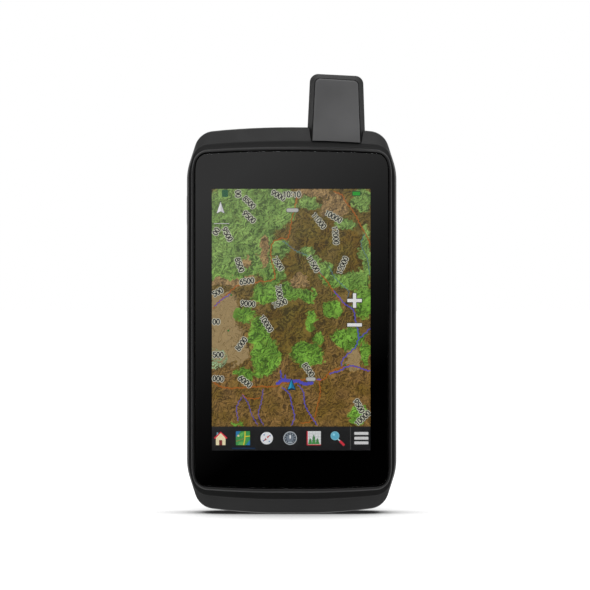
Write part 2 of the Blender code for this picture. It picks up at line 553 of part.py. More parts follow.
def antenna():
    rings = [(1.9, STUB_FRONT_Y), (0.0, STUB_SHOULDER_Y), (0.0, STUB_BACK_Y - 3.2), (1.2, STUB_BACK_Y - 0.8),
             (3.0, STUB_BACK_Y)]
    over_ledge = case_outline(inset(BAND, -GAP))
    stub = piece("antenna_housing", loft([at_depth(stub_outline(by), y) for by, y in rings]),
                 (0.03, 0.03, 0.032), 0.5)
    hollow = [(u, v - 2 if v < STUB_LOW + 2 else v) for u, v in stub_outline(STUB_WALL)]
    combine(stub, "DIFFERENCE",
            prism(stub_outline(COVER_INSET - GAP), STUB_PANEL_Y, -20),
            prism(hollow, STUB_POCKET_Y, STUB_BACK_Y - 2.8),
            case_envelope(GAP),
            prism(over_ledge, -20, BAND_Y + 0.2))
    rings = [(COVER_INSET, COVER_BACK_Y), (COVER_INSET, COVER_EDGE_Y), (COVER_INSET + 0.3, COVER_FACE_Y)]
    cover = piece("antenna_front_cover", loft([at_depth(stub_outline(by), y) for by, y in rings]),
                  (0.12, 0.12, 0.122), 0.45)
    combine(cover, "DIFFERENCE", case_envelope(GAP), prism(over_ledge, -20, BAND_Y + 0.2))


def antenna_element():
    """Helical antenna: a former whose four wires wind half a turn, on a neck that enters the case."""
    sides, wires = 24, 4
    rings = []
    for radius, lift, z in ((3.6, 0.0, 152.0), (3.6, 0.0, 162.6), (5.6, 0.0, 162.8)):
        rings.append((radius, lift, z, 0.0))
    steps = 8
    rings += [(5.4, 0.5, 163.2 + 14.0 * k / steps, math.pi / 2 * k / steps) for k in range(steps + 1)]
    rings.append((4.6, 0.0, 177.8, math.pi / 2))
    former = []
    for radius, lift, z, turn in rings:
        row = []
        for k in range(sides):
            angle = math.tau * k / sides + turn
            reach = radius + (lift if k % (sides // wires) == 0 else 0.0)
            row.append(Vector((ELEMENT_X + reach * math.cos(angle), ELEMENT_Y + reach * math.sin(angle), z)))
        former.append(row)
    piece("antenna_element", loft(former), (0.72, 0.68, 0.6), 0.5)


# ---------------------------------------------------------------- battery and door

def battery():
    outline = plate_outline(BATTERY_HALF, BATTERY_LOW, BATTERY_HIGH, 3.0)
    piece("battery_pack", prism(outline, BATTERY_FRONT_Y, BATTERY_BACK_Y), (0.05, 0.05, 0.055), 0.5, bevel=0.8)
    contacts = piece("battery_contacts", block((-9, 4.0, 106.9), (9, 8.6, 109.1)), (0.1, 0.1, 0.1), 0.5)
    combine(contacts, "UNION", *(block((x - 1, 5.0, 105.8), (x + 1, 7.4, 107.4)) for x in (-6, 0, 6)))


def battery_door():
    """The door's edges are half rounds, so that its top edge can turn in its seat."""
    axis_y, radius = DOOR_AXIS.y, DOOR_EDGE_RADIUS
    rows = []
    for k in range(7):
        turn = -math.pi / 2 + math.pi * k / 6
        rows.append((radius * (1 - math.cos(turn)), axis_y + radius * math.sin(turn)))
    rows += [(4.0, DOOR_CROWN_Y - 0.35), (8.0, DOOR_CROWN_Y)]
    rings = []
    for by, y in rows:
        outline = plate_outline(DOOR_HALF - by, DOOR_LOW + by, DOOR_HIGH - by, max(DOOR_CORNER - by, 0.8))
        rings.append(at_depth(outline, y))
    door = piece("battery_door", loft(rings), (0.033, 0.034, 0.036), 0.6, pivot=DOOR_AXIS)
    low, high, thick = BAY_LOW + RIM_MARGIN, BAY_HIGH - RIM_MARGIN, RIM_THICK
    rim = prism(plate_outline(RIM_OUTER, low, high, 2.5), RIM_LOW_Y, DOOR_SKIN_Y + 0.5)
    tabs = []
    for x in (-TAB_X, TAB_X):
        tabs.append(block((x - TAB_HALF, TAB_FRONT_Y, DOOR_HIGH - 2.0),
                          (x + TAB_HALF, TAB_BACK_Y, DOOR_HIGH + TAB_REACH)))
    combine(door, "UNION", rim, *tabs)
    inside = plate_outline(RIM_OUTER - thick, low + thick, high - thick, 1.5)
    combine(door, "DIFFERENCE", prism(inside, 5, DOOR_SKIN_Y))
    combine(door, "UNION", rod(0, LATCH_Z, DISH_RADIUS - 2.8, LATCH_BOSS_Y, DOOR_SKIN_Y + 0.5, 24))
    combine(door, "DIFFERENCE", rod(0, LATCH_Z, DISH_RADIUS, DISH_FLOOR_Y, 20, 32),
            rod(0, LATCH_Z, STUD_RADIUS + GAP, 5, 20))
    hug = RIM_OUTER + GAP
    gasket = [(GASKET_OUTER, GASKET_FRONT_Y), (GASKET_OUTER, GASKET_BACK_Y),
              (hug, GASKET_BACK_Y), (hug, GASKET_FRONT_Y)]
    rings = []
    for half, y in gasket:
        grow = half - RIM_OUTER
        rings.append(at_depth(plate_outline(half, low - grow, high + grow, 2.5), y))
    piece("door_gasket", loft(rings, closed=True), (0.3, 0.1, 0.05), 0.7, pivot=DOOR_AXIS, parent=door)
    return door


def door_latch(door):
    pivot = (0, RING_AXIS_Y, LATCH_Z)
    head_low = DISH_FLOOR_Y + GAP
    profile = [(STUD_RADIUS, STUD_END_Y), (STUD_RADIUS, head_low), (STUD_HEAD, head_low),
               (STUD_HEAD, head_low + 0.5), (STUD_HEAD - 0.3, head_low + 0.8)]
    latch = piece("door_latch", turned(profile, 0, LATCH_Z, 24), (0.5, 0.5, 0.52), 0.3, 1.0,
                  pivot=pivot, parent=door)
    bridge = block((-BRIDGE_HALF, head_low + 0.1, RING_AXIS_Z - BRIDGE_BELOW),
                   (BRIDGE_HALF, DOOR_CROWN_Y, RING_AXIS_Z + BRIDGE_ABOVE))
    combine(latch, "UNION", bridge)
    combine(latch, "DIFFERENCE", cross_rod(RING_AXIS_Y, RING_AXIS_Z, RING_WIRE + 0.22, -8, 8, 12))
    cam_outline = plate_outline(CAM_HALF, LATCH_Z - CAM_REACH, LATCH_Z + CAM_HALF + 0.2, 2.0)
    cam = piece("latch_cam", prism(cam_outline, CAM_FRONT_Y, CAM_BACK_Y), (0.6, 0.6, 0.62), 0.35, 1.0,
                pivot=pivot, parent=latch)
    combine(cam, "DIFFERENCE", rod(0, LATCH_Z, STUD_RADIUS + 0.15, 5, 14))
    return latch


def d_ring(latch):
    """Bent wire: a straight bar through the latch's bridge and a round-cornered loop below it."""
    low, foot = RING_AXIS_Z - RING_DROP, RING_HALF - 0.8
    path = rounded([(RING_HALF, RING_AXIS_Z, 1.6), (-RING_HALF, RING_AXIS_Z, 1.6),
                    (-foot, low, 4.2), (foot, low, 4.2)], 4)
    sides = 8
    turns = [math.tau * k / sides for k in range(sides)]
    outward = Vector((0, 1, 0))
    rings = []
    for i, point in enumerate(path):
        along = (path[(i + 1) % len(path)] - path[i - 1]).normalized()
        across = Vector((along.y, 0, -along.x))
        centre = Vector((point.x, RING_AXIS_Y, point.y))
        rings.append([centre + RING_WIRE * (across * math.cos(t) + outward * math.sin(t)) for t in turns])
    piece("d_ring", loft(rings, closed=True), (0.45, 0.45, 0.47), 0.25, 1.0,
          pivot=(0, RING_AXIS_Y, RING_AXIS_Z), parent=latch)


# ---------------------------------------------------------------- back fittings

def weather_cap(name, spot, size):
    """A rubber flap, rounded along its lower edge, where it turns."""
    (x, z), (half, tall) = spot, size
    low = z - tall + CAP_EDGE
    profile = [(CAP_Y + CAP_EDGE * math.cos(turn), low + CAP_EDGE * math.sin(turn))
               for turn in (math.pi * (1 + k / 6) for k in range(7))]
    high = z + tall
    profile += [(CAP_Y + CAP_EDGE, high - 1.0), (CAP_Y + CAP_EDGE - 0.3, high), (CAP_Y - CAP_EDGE, high)]
    cap = piece(name, strip(profile, x - half, x + half), (0.03, 0.03, 0.03), 0.8, pivot=(x, CAP_Y, low))
    combine(cap, "DIFFERENCE", prism(plate_outline(2.0, high - 1.6, high - 0.8, 0.3, 1, x=x), CAP_Y + 0.6, 18))


def back_fittings():
    weather_cap("usb_cap", USB_SPOT, USB_CAP_SIZE)
    weather_cap("antenna_jack_cap", JACK_SPOT, JACK_CAP_SIZE)
    socket_and_jack()
    mount_plate()
    powered_contacts()


def socket_and_jack():
    x, z = USB_SPOT
    half, tall = SOCKET_SIZE
    shell = plate_outline(half, z - tall, z + tall, 0.8, x=x)
    socket = piece("usb_socket", prism(shell, SOCKET_FRONT_Y, SOCKET_BACK_Y), (0.75, 0.75, 0.76), 0.3, 1.0)
    half, tall = half - SOCKET_WALL, tall - SOCKET_WALL
    mouth = plate_outline(half, z - tall, z + tall, 0.5, x=x)
    combine(socket, "DIFFERENCE", prism(mouth, SOCKET_FRONT_Y + 1, 15))
    low, high = (x - half + 1.1, SOCKET_FRONT_Y + 0.5, z - 0.4), (x + half - 1.1, SOCKET_BACK_Y - 1, z + 0.4)
    combine(socket, "UNION", block(low, high))
    well_y = SOCKET_FRONT_Y + 2
    barrel = [(JACK_RADIUS, SOCKET_FRONT_Y), (JACK_RADIUS, SOCKET_BACK_Y), (JACK_BORE, SOCKET_BACK_Y),
              (JACK_BORE, well_y), (JACK_PIN, well_y), (JACK_PIN - 0.1, SOCKET_BACK_Y - 1.4)]
    piece("antenna_jack", turned(barrel, *JACK_SPOT), (0.85, 0.62, 0.25), 0.25, 1.0)


def mount_plate():
    outline = plate_outline(MOUNT_HALF, MOUNT_LOW, MOUNT_HIGH, 2.2)
    plate = piece("mount_plate", prism(outline, MOUNT_BACK_Y, MOUNT_FACE_Y), (0.06, 0.06, 0.065), 0.5)
    low, wide = MOUNT_LOW - 2, SLOT_HALF + SLOT_LIP
    sides = (-MOUNT_SCREW_X, MOUNT_SCREW_X)
    combine(plate, "DIFFERENCE",
            block((-SLOT_HALF, SLOT_FLOOR_Y, low), (SLOT_HALF, 20, SLOT_TOP)),
            block((-wide, SLOT_FLOOR_Y, low), (wide, SLOT_LIP_Y, SLOT_TOP)),
            gathered(*(rod(x, MOUNT_SCREW_Z, HEAD_RADIUS + GAP, MOUNT_SCREW_SEAT_Y, 20, 16) for x in sides)),
            gathered(*(rod(x, MOUNT_SCREW_Z, SHANK_RADIUS + GAP, 10, 20, 12) for x in sides)))
    for number, x in enumerate(sides, 1):
        screw_piece(f"mount_screw_{number}", x, MOUNT_SCREW_Z, 8.5,
                    MOUNT_SCREW_SEAT_Y + 0.2, MOUNT_FACE_Y - 0.2)


def powered_contacts():
    x, z = CONTACT_SPOT
    half, tall = CONTACT_SIZE
    outline = plate_outline(half, z - tall, z + tall, 1.2, x=x)
    carrier = piece("contact_block", prism(outline, CONTACT_SEAT_Y + GAP, MOUNT_FACE_Y),
                    (0.04, 0.04, 0.04), 0.5)
    pads = [x + PAD_STEP * (k - 1.5) for k in range(4)]
    wide, high = PAD_SIZE
    u_room, z_room = wide + PAD_WELL, high + PAD_WELL
    wells = [block((u - u_room, 14.9, z - z_room), (u + u_room, 18, z + z_room)) for u in pads]
    combine(carrier, "DIFFERENCE", gathered(*wells))
    for number, u in enumerate(pads, 1):
        piece(f"contact_pad_{number}", block((u - wide, 15.1, z - high), (u + wide, 15.9, z + high)),
              (0.85, 0.65, 0.3), 0.25, 1.0, bevel=0.2)


def clear_scene():
    for thing in list(bpy.data.objects):
        bpy.data.objects.remove(thing)


def main():
    clear_scene()
    front_housing()
    rear_housing()
    rear_holes()
    housing_gasket()
    housing_screws()
    cover_glass()
    bezel_mask()
    display()
    mid_frame()
    main_board()
    display_flex()
    speaker()
    memory_card_holder()
    grips()
    power_button()
    antenna()
    antenna_element()
    battery()
    latch = door_latch(battery_door())
    d_ring(latch)
    back_fittings()


main()
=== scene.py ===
"""Looks of the handheld GPS unit: fine skins, materials, the lit map screen, studio light and camera."""

import math
from collections import namedtuple

import bmesh
import bpy
from mathutils import Matrix, Vector


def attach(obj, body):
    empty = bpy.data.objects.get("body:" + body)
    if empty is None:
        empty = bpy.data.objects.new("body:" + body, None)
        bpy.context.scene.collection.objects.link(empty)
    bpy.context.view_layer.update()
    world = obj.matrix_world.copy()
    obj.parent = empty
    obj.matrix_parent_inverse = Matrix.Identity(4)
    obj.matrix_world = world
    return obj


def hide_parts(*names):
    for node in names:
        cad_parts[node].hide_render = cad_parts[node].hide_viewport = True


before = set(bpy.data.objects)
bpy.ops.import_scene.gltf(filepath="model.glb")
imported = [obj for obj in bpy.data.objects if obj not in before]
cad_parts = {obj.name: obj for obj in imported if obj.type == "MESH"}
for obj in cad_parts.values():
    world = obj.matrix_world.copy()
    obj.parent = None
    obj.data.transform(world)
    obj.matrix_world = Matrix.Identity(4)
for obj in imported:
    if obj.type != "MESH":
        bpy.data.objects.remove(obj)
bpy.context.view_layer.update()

MM = 0.001

# ---- driving dimensions, in mm
Outline = namedtuple("Outline", "half top bottom crown keel top_knee bottom_knee slant corner knee")
BODY = Outline(43.6, 160.8, 0.0, 340, 265, 142.7, 18.6, 0.341, 8.5, 25)
BAND = Outline(42.9, 155.0, 6.1, 420, 350, 142.2, 19.0, 0.290, 7.5, 22)
LIP = Outline(41.5, 152.2, 9.0, 560, 520, 142.8, 18.2, 0.220, 6.5, 20)
GLASS = Outline(40.0, 150.5, 10.9, 630, 612, 143.5, 17.5, 0.197, 5.0, 18)
POCKET = Outline(40.45, 150.95, 10.45, 630, 612, 143.5, 17.5, 0.197, 5.3, 18)
WINDOW = Outline(36.5, 146.0, 15.0, 900, 900, 141.0, 20.0, 0.100, 3.0, 6)
BACK = Outline(40.3, 154.0, 7.0, 400, 320, 141.5, 20.0, 0.330, 6.0, 20)
CAVITY = Outline(39.6, 158.2, 2.6, 360, 300, 142.0, 19.3, 0.330, 6.0, 22)
GROOVE = Outline(41.4, 159.9, 0.9, 340, 265, 142.7, 18.6, 0.341, 7.0, 25)
FOOT_HALF, CORNER_CHORDS, SHARP_ANGLE = 10.0, 12, 30

LIP_CREST_Y = -16.5
GLASS_FRONT_Y, GLASS_BACK_Y = -16.15, -15.15
SEAT_Y = -14.3
BAND_Y, LEDGE_Y, SHOULDER_Y, FLARE_Y = -11.7, -12.0, -9.2, -7.4
SPLIT_Y, PLATEAU_Y = 1.0, 16.2
SIDE_BACK_Y, REAR_CEILING_Y, PAST_BACK_Y = 9.0, 12.0, 20
GAP, SEAM_BEVEL, OUTSIDE_X = 0.3, 0.25, BODY.half + 2.4

# Back of the case. BACK_CURVE: the share of the way from the side to the flat back, and y.
GROOVE_WIDTH, GROOVE_DEPTH = 1.1, 1.4
BACK_CURVE = ((0.05, 10.2), (0.14, 11.3), (0.25, 12.2), (0.375, 13.2), (0.5, 14.0), (0.65, 14.8),
              (0.79, 15.4), (0.91, 15.85), (1.0, PLATEAU_Y))
SCREW_SPOTS = [(x * side, z) for x, z in ((33.5, 146.0), (37.6, 84.0), (36.6, 19.0)) for side in (-1, 1)]
BOSS_RADIUS, SHANK_RADIUS, HEAD_RADIUS, HEAD_SEAT_Y = 2.5, 1.0, 1.9, 12.3
BAY_HALF, BAY_LOW, BAY_HIGH, BAY_FLOOR_Y, BAY_WALL = 27.5, 16.5, 109.5, 3.4, 1.5
DOOR_HALF, DOOR_LOW, DOOR_HIGH, DOOR_SEAT_Y, TAB_X, TAB_ROOM = 30.0, 14.0, 112.0, 12.8, 17, 3.8
CAP_X, USB_Z, JACK_Z, CAP_FLOOR_Y, SOCKET_FRONT_Y, SOCKET_BACK_Y = 22.0, 123.0, 139.0, 13.7, 5, 14.5
MOUNT_HALF, MOUNT_LOW, MOUNT_HIGH, MOUNT_SEAT_Y = 10.0, 119.0, 147.0, 12.9
MOUNT_SCREW_X, MOUNT_SCREW_Z, ENTRY_HALF, ENTRY_LOW, ENTRY_FLOOR_Y = 6.5, 142.8, 6, 113.8, 14
SPEAKER_X, SPEAKER_Z, SPEAKER_SEAT_Y, CONTACT_Z, CONTACT_SEAT_Y = -24.0, 136.0, 15.1, 121.0, 14.0
CARD_ROOM = ((-9.4, 0.0, 61.6), (6.4, 5.0, 76.4))

# Screen: the picture's plane, and the steps by which its layers lie in front of each other.
SCREEN_HALF, SCREEN_LOW, SCREEN_HIGH, SCREEN_X = 32.85, 26.5, 134.85, -0.2
PANEL_MARGIN, PANEL_LOW, PANEL_HIGH, PANEL_BACK_Y = 1.4, 23.0, 138.5, -12.4
PICTURE_Y, LAYER = -14.4, 0.02
PICTURE_SCALE, PICTURE_CENTRE = 0.991, Vector((1.38, 0, 90.9))  # the map is drawn a little large
BAR_TOP, ICON_Z = 35.9, 31.0

# Stub antenna, grips and power button.
STUB_LEFT, STUB_RIGHT, STUB_TOP_LEFT, STUB_TOP_RIGHT = 7.7, 29.75, 183.1, 182.0
STUB_LOW, STUB_LEAN_LEFT, STUB_LEAN_RIGHT, STUB_CORNER, STUB_FRONT_Y = 148.0, 0.048, 0.032, 3.5, -12.2
GRIP_LOW, GRIP_HIGH, GRIP_FRONT_Y, GRIP_BACK_Y = 43.5, 117.7, -7.5, 8.5
GRIP_THICK, PAD_PROUD, PAD_LENGTH, PAD_COUNT, PAD_PITCH = 1.2, 0.31, 8.66, 5, 13.8
BUTTON_LOW, BUTTON_HIGH, BUTTON_FRONT_Y, BUTTON_BACK_Y = 119.8, 132.7, -6.8, -1.0
BUTTON_PROUD, BUTTON_CORNER, BUTTON_SKIRT, BUTTON_BACK_X = 0.13, 2.2, 1.0, -38.3


# ---- outlines and skins
def rounded(corners, steps):
    """Closed outline through corners (u, v, radius), with an arc of steps chords at each radius."""
    points = []
    for i, (u, v, radius) in enumerate(corners):
        here = Vector((u, v))
        if not radius:
            points.append(here)
            continue
        back = (Vector(corners[i - 1][:2]) - here).normalized()
        ahead = (Vector(corners[(i + 1) % len(corners)][:2]) - here).normalized()
        half = back.angle(ahead) / 2
        centre = here + (back + ahead).normalized() * radius / math.sin(half)
        spoke = here + back * radius / math.tan(half) - centre
        turn = (math.pi - 2 * half) * (1 if back.cross(ahead) < 0 else -1)
        points += [centre + Matrix.Rotation(turn * k / steps, 2) @ spoke for k in range(steps + 1)]
    return points


def case_outline(shape):
    """Anticlockwise outline of the case, seen from the front."""
    def crown(x):
        return shape.top - x * x / (2 * shape.crown)

    def keel(x):
        return shape.bottom + (max(x * x, FOOT_HALF ** 2) - FOOT_HALF ** 2) / (2 * shape.keel)

    upper = shape.half - shape.slant * (crown(shape.half) - shape.top_knee)
    lower = shape.half - shape.slant * (shape.bottom_knee - keel(shape.half))
    half = [(lower, keel(lower), shape.corner), (shape.half, shape.bottom_knee, shape.knee),
            (shape.half, shape.top_knee, shape.knee), (upper, crown(upper), shape.corner)]
    sides = [(x, keel(x), 0) for x in (FOOT_HALF * 0.5, FOOT_HALF, FOOT_HALF * 1.5, lower * 0.55, lower * 0.7)]
    tops = [(x, crown(x), 0) for x in (upper * share for share in (0.72, 0.58, 0.44, 0.29, 0.15))]
    right = sides + half + tops
    left = [(-x, z, radius) for x, z, radius in reversed(right)]
    return rounded(right + [(0, crown(0), 0)] + left, CORNER_CHORDS)


def mix(first, second, share):
    return Outline(*(a + (b - a) * share for a, b in zip(first, second)))


def inset(shape, by):
    return shape._replace(half=shape.half - by, top=shape.top - by, bottom=shape.bottom + by,
                          corner=max(shape.corner - by, 1.0))


def at_depth(outline, y):
    return [Vector((u, y, v)) for u, v in outline]


def quarter(first, y_first, last, y_last, leaves, steps=6):
    """Rings along a quarter ellipse between two rings. leaves is the way it sets off: along Y or across."""
    rings = []
    for k in range(1, steps + 1):
        turn = math.pi / 2 * k / steps
        far, near = math.sin(turn), 1 - math.cos(turn)
        share, depth = (near, far) if leaves == "along" else (far, near)
        rings.append((mix(first, last, share), y_first + (y_last - y_first) * depth))
    return rings


def straight(first, y_first, last, y_last, steps):
    shares = [k / steps for k in range(1, steps + 1)]
    return [(mix(first, last, share), y_first + (y_last - y_first) * share) for share in shares]


def loft(rings, closed=False):
    """Mesh through rings of equal length: closed joins the last to the first, else both are capped."""
    shape = bmesh.new()
    rows = [[shape.verts.new(point) for point in ring] for ring in rings]
    pairs = list(zip(rows, rows[1:])) + ([(rows[-1], rows[0])] if closed else [])
    for low, high in pairs:
        for i in range(len(low)):
            shape.faces.new((low[i - 1], low[i], high[i], high[i - 1]))
    if not closed:
        shape.faces.new(rows[0])
        shape.faces.new(reversed(rows[-1]))
    bmesh.ops.recalc_face_normals(shape, faces=shape.faces)
    return shape


def prism(outline, y_low, y_high):
    return loft([at_depth(outline, y_low), at_depth(outline, y_high)])


def block(low, high):
    return prism([(low[0], low[2]), (high[0], low[2]), (high[0], high[2]), (low[0], high[2])], low[1], high[1])


def plate_outline(half, low, high, radius, steps=6, x=0.0):
    return rounded([(x + half, low, radius), (x + half, high, radius),
                    (x - half, high, radius), (x - half, low, radius)], steps)


def mesh_object(name, shape, sharp=SHARP_ANGLE):
    shape.transform(Matrix.Scale(MM, 4))
    mesh = bpy.data.meshes.new(name)
    shape.to_mesh(mesh)
    shape.free()
    thing = bpy.data.objects.new(name, mesh)
    bpy.context.scene.collection.objects.link(thing)
    smooth(mesh, sharp)
    return thing


def smooth(mesh, sharp=SHARP_ANGLE):
    mesh.shade_smooth()
    mesh.set_sharp_from_angle(angle=math.radians(sharp))


def cut(thing, *shapes, operation="DIFFERENCE"):
    """Cuts or adds each shape, and leaves the result in the mesh."""
    for shape in shapes:
        tool = mesh_object("cutter", shape)
        step = thing.modifiers.new("cut", "BOOLEAN")
        step.operation = operation
        step.solver = "EXACT"
        step.object = tool
        graph = bpy.context.evaluated_depsgraph_get()
        made = bpy.data.meshes.new_from_object(thing.evaluated_get(graph))
        thing.modifiers.clear()
        thing.data = made
        smooth(made)
        bpy.data.objects.remove(tool)


def coat(thing, material):
    thing.data.materials.clear()
    thing.data.materials.append(material)


def piece(name, shape, material, body, slot, *nodes, sharp=SHARP_ANGLE):
    thing = mesh_object(name, shape, sharp)
    coat(thing, material)
    claim(thing, body, slot, *nodes)
    return thing


def claim(thing, body, slot, *nodes):
    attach(thing, body)
    if nodes:
        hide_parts(*nodes)


# ---- materials
def tint(grey_or_colour):
    """Linear colour of display values from 0 to 255."""
    values = grey_or_colour if isinstance(grey_or_colour, tuple) else (grey_or_colour,) * 3
    return tuple(v / 255 / 12.92 if v < 10 else ((v / 255 + 0.055) / 1.055) ** 2.4 for v in values)


def new_material(name):
    """A material, and a call that adds a node to it, links its inputs and returns one output."""
    material = bpy.data.materials.new(name)
    material.use_nodes = True
    tree = material.node_tree
    return material, tree.nodes["Principled BSDF"], node_maker(tree)


def node_maker(tree):
    def make(kind, inputs=(), out=0, **settings):
        made = tree.nodes.new("ShaderNode" + kind)
        for key, value in settings.items():
            setattr(made, key, value)
        for place, value in (inputs.items() if isinstance(inputs, dict) else enumerate(inputs)):
            if isinstance(value, bpy.types.NodeSocket):
                tree.links.new(value, made.inputs[place])
            elif value is not None:
                made.inputs[place].default_value = value
        return made.outputs[out]
    make.link = tree.links.new
    make.nodes = tree.nodes
    return make


def calc(make, operation, *values):
    return make("Math", values, operation=operation)


def times(make, first, second):
    return calc(make, "MULTIPLY", first, second)


def plus(make, first, second):
    return calc(make, "ADD", first, second)


def eased(make, value, low, high, to_high=1.0, to_low=0.0):
    return remap(make, value, low, high, to_low, to_high, "SMOOTHSTEP")


def remap(make, value, low, high, to_low=0.0, to_high=1.0, shape="LINEAR"):
    return make("MapRange", {0: value, 1: low, 2: high, 3: to_low, 4: to_high}, interpolation_type=shape)


def vector(make, operation, *values):
    number = operation in ("LENGTH", "DOT_PRODUCT")
    return make("VectorMath", values, "Value" if number else 0, operation=operation)


def scaled(make, value, by):
    return make("VectorMath", {0: value, "Scale": by}, operation="SCALE")


def noise(make, where, scale, detail=2.0, out=0, **settings):
    return make("TexNoise", {"Vector": where, "Scale": scale, "Detail": detail}, out, **settings)


def blend(make, share, first, second):
    def socket(value):
        return value if isinstance(value, bpy.types.NodeSocket) else (*value, 1.0)
    return make("Mix", {0: share, 6: socket(first), 7: socket(second)}, 2, data_type="RGBA")


def feed(make, shader, inputs):
    """Gives sockets of a shader a number, a colour or the output of another node."""
    for name, value in inputs.items():
        if isinstance(value, bpy.types.NodeSocket):
            make.link(value, shader.inputs[name])
        else:
            shader.inputs[name].default_value = value


def moulded(name, colour, roughness, grain=0.25, specular=0.5, mottle=0.12):
    """Moulded plastic or rubber: spark-eroded grain (in mm), faint mottling and a lighter base colour along
    sharp edges.
    """
    material, shader, make = new_material(name)
    where = make("TexCoord", out="Object")
    fine = noise(make, where, 1 / (grain * MM))
    broad = noise(make, where, 60.0, 4.0)
    shade = scaled(make, colour, remap(make, broad, 0.3, 0.7, 1 - mottle, 1 + mottle))
    # base colour up to 1.8 times lighter along sharp convex edges
    edge_lightening = remap(make, make("NewGeometry", out="Pointiness"), 0.52, 0.6, 0.0, 0.5)
    feed(make, shader, {
        "Base Color": blend(make, edge_lightening, shade, tuple(c * 1.8 for c in colour)),
        "Roughness": remap(make, broad, 0.3, 0.7, roughness - 0.06, roughness + 0.06),
        "Normal": make("Bump", {"Strength": 0.25, "Distance": grain * MM * 0.5, "Height": fine}),
        "Specular IOR Level": specular})
    return material


def brushed(name, colour, roughness=0.32, along=(1, 1, 12)):
    """Metal with fine scratches along one way and faint staining."""
    material, shader, make = new_material(name)
    where = make("TexCoord", out="Object")
    lines = noise(make, make("Mapping", {"Vector": where, "Scale": along}), 900.0, 3.0)
    stain = remap(make, noise(make, where, 140.0), 0.3, 0.7)
    feed(make, shader, {
        "Base Color": blend(make, stain, tuple(c * 0.8 for c in colour), colour),
        "Roughness": remap(make, lines, 0.2, 0.8, roughness - 0.1, roughness + 0.12),
        "Normal": make("Bump", {"Strength": 0.08, "Distance": 0.00003, "Height": lines}),
        "Metallic": 1.0})
    return material


def clear_glass(name):
    material, shader, make = new_material(name)
    smears = noise(make, make("TexCoord", out="Object"), 45.0, 3.0)
    haze = blend(make, remap(make, smears, 0.5, 0.8), (1.0, 1.0, 1.0), (0.97, 0.972, 0.975))
    feed(make, shader, {"Base Color": haze, "Roughness": 0.0, "Transmission Weight": 1.0, "IOR": 1.5})
    return material


def black_gloss(name):
    """The black border of the cover glass. It mirrors as much as the two faces of clear glass."""
    material, shader, make = new_material(name)
    smears = noise(make, make("TexCoord", out="Object"), 45.0, 3.0)
    feed(make, shader, {
        "Base Color": blend(make, smears, (0.0008, 0.0008, 0.0008), (0.0014, 0.0014, 0.0015)),
        "Roughness": remap(make, smears, 0.5, 0.8, 0.0, 0.03),
        "IOR": 1.77})
    return material


def lit_ink(name, colour):
    """A colour of the lit screen. A faint grid of picture dots varies it."""
    material, shader, make = new_material(name)
    dots = noise(make, make("TexCoord", out="Object"), 2500.0, 0.0)
    feed(make, shader, {
        "Emission Color": scaled(make, tint(colour), remap(make, dots, 0.3, 0.7, 0.95, 1.05)),
        "Emission Strength": LIT,
        "Base Color": (*(PAINT * c for c in tint(colour)), 1),
        "Roughness": 0.5})
    return material


# ---- map picture
LIT = 1.04  # glow of the screen, which makes up for what the cover glass takes
PAINT = 0.15  # the screen's own colour when it is dark, as a share of the lit one

# Ground of the map: ellipses (x, z, half width, half height) in mm, torn along their edges by noise.
FOREST = [
    (-22, 118, 15, 22), (-7, 128, 9, 10), (-8, 101, 5, 6), (-31, 104, 5, 8), (7, 129, 5, 2.6), (30, 131, 4, 5),
    (23, 120, 5, 2), (-5, 110.5, 3.6, 3.4), (6, 109, 3, 1.6), (10, 105.5, 3, 2.8), (14, 101, 3, 3),
    (18, 96.5, 4, 3), (26, 97, 6, 4), (31, 108, 2.2, 12), (30, 88, 4, 7), (17, 85, 4, 3.4), (-11, 91.5, 6, 4.6),
    (-1, 92.5, 6, 3.6), (7, 91, 3.4, 2.8), (-20, 82.5, 4.4, 3.4), (-14, 75.5, 4, 6), (8.3, 80.5, 2.2, 4),
    (-11, 65, 6, 8), (-19, 58, 5, 2.2), (6.5, 66, 7, 5), (11, 73, 3, 2.6), (24, 73, 6.5, 4.2),
    (31, 66, 1.8, 5), (27.5, 40.3, 3.9, 3.9), (-23, 36.5, 3, 1.0)]
HEIGHTS = [(11, 117, 9, 9), (19, 128, 5, 4), (25, 108, 5.5, 10), (-1, 104, 5, 5), (4, 97.5, 5, 3),
           (0, 82, 11, 6), (-4, 72, 5, 9), (3, 74, 6, 3)]
BASIN = [(-30, 84, 8, 8), (-30, 72, 10, 9), (-25, 67, 7, 5), (26, 64, 3, 5)]
SCREE = [(-11.5, 109, 2.2, 6), (-19, 104, 1.2, 3.4), (18, 128, 6, 5), (8, 134, 9, 2.2), (-25, 96.5, 10, 1.6),
         (3, 97, 4, 2.4)]
MARSH = [(-31, 64, 4, 4.4)]


def ground(make, spot, patches):
    """Where a point lies in any of the patches: 1 inside, 0 outside."""
    nearest = None
    for x, z, wide, tall in patches:
        away = vector(make, "ADD", spot, (-x, 0, -z))
        reach = vector(make, "LENGTH", vector(make, "MULTIPLY", away, (1 / wide, 0, 1 / tall)))
        nearest = reach if nearest is None else calc(make, "MINIMUM", nearest, reach)
    return eased(make, nearest, 1.09, 0.91)


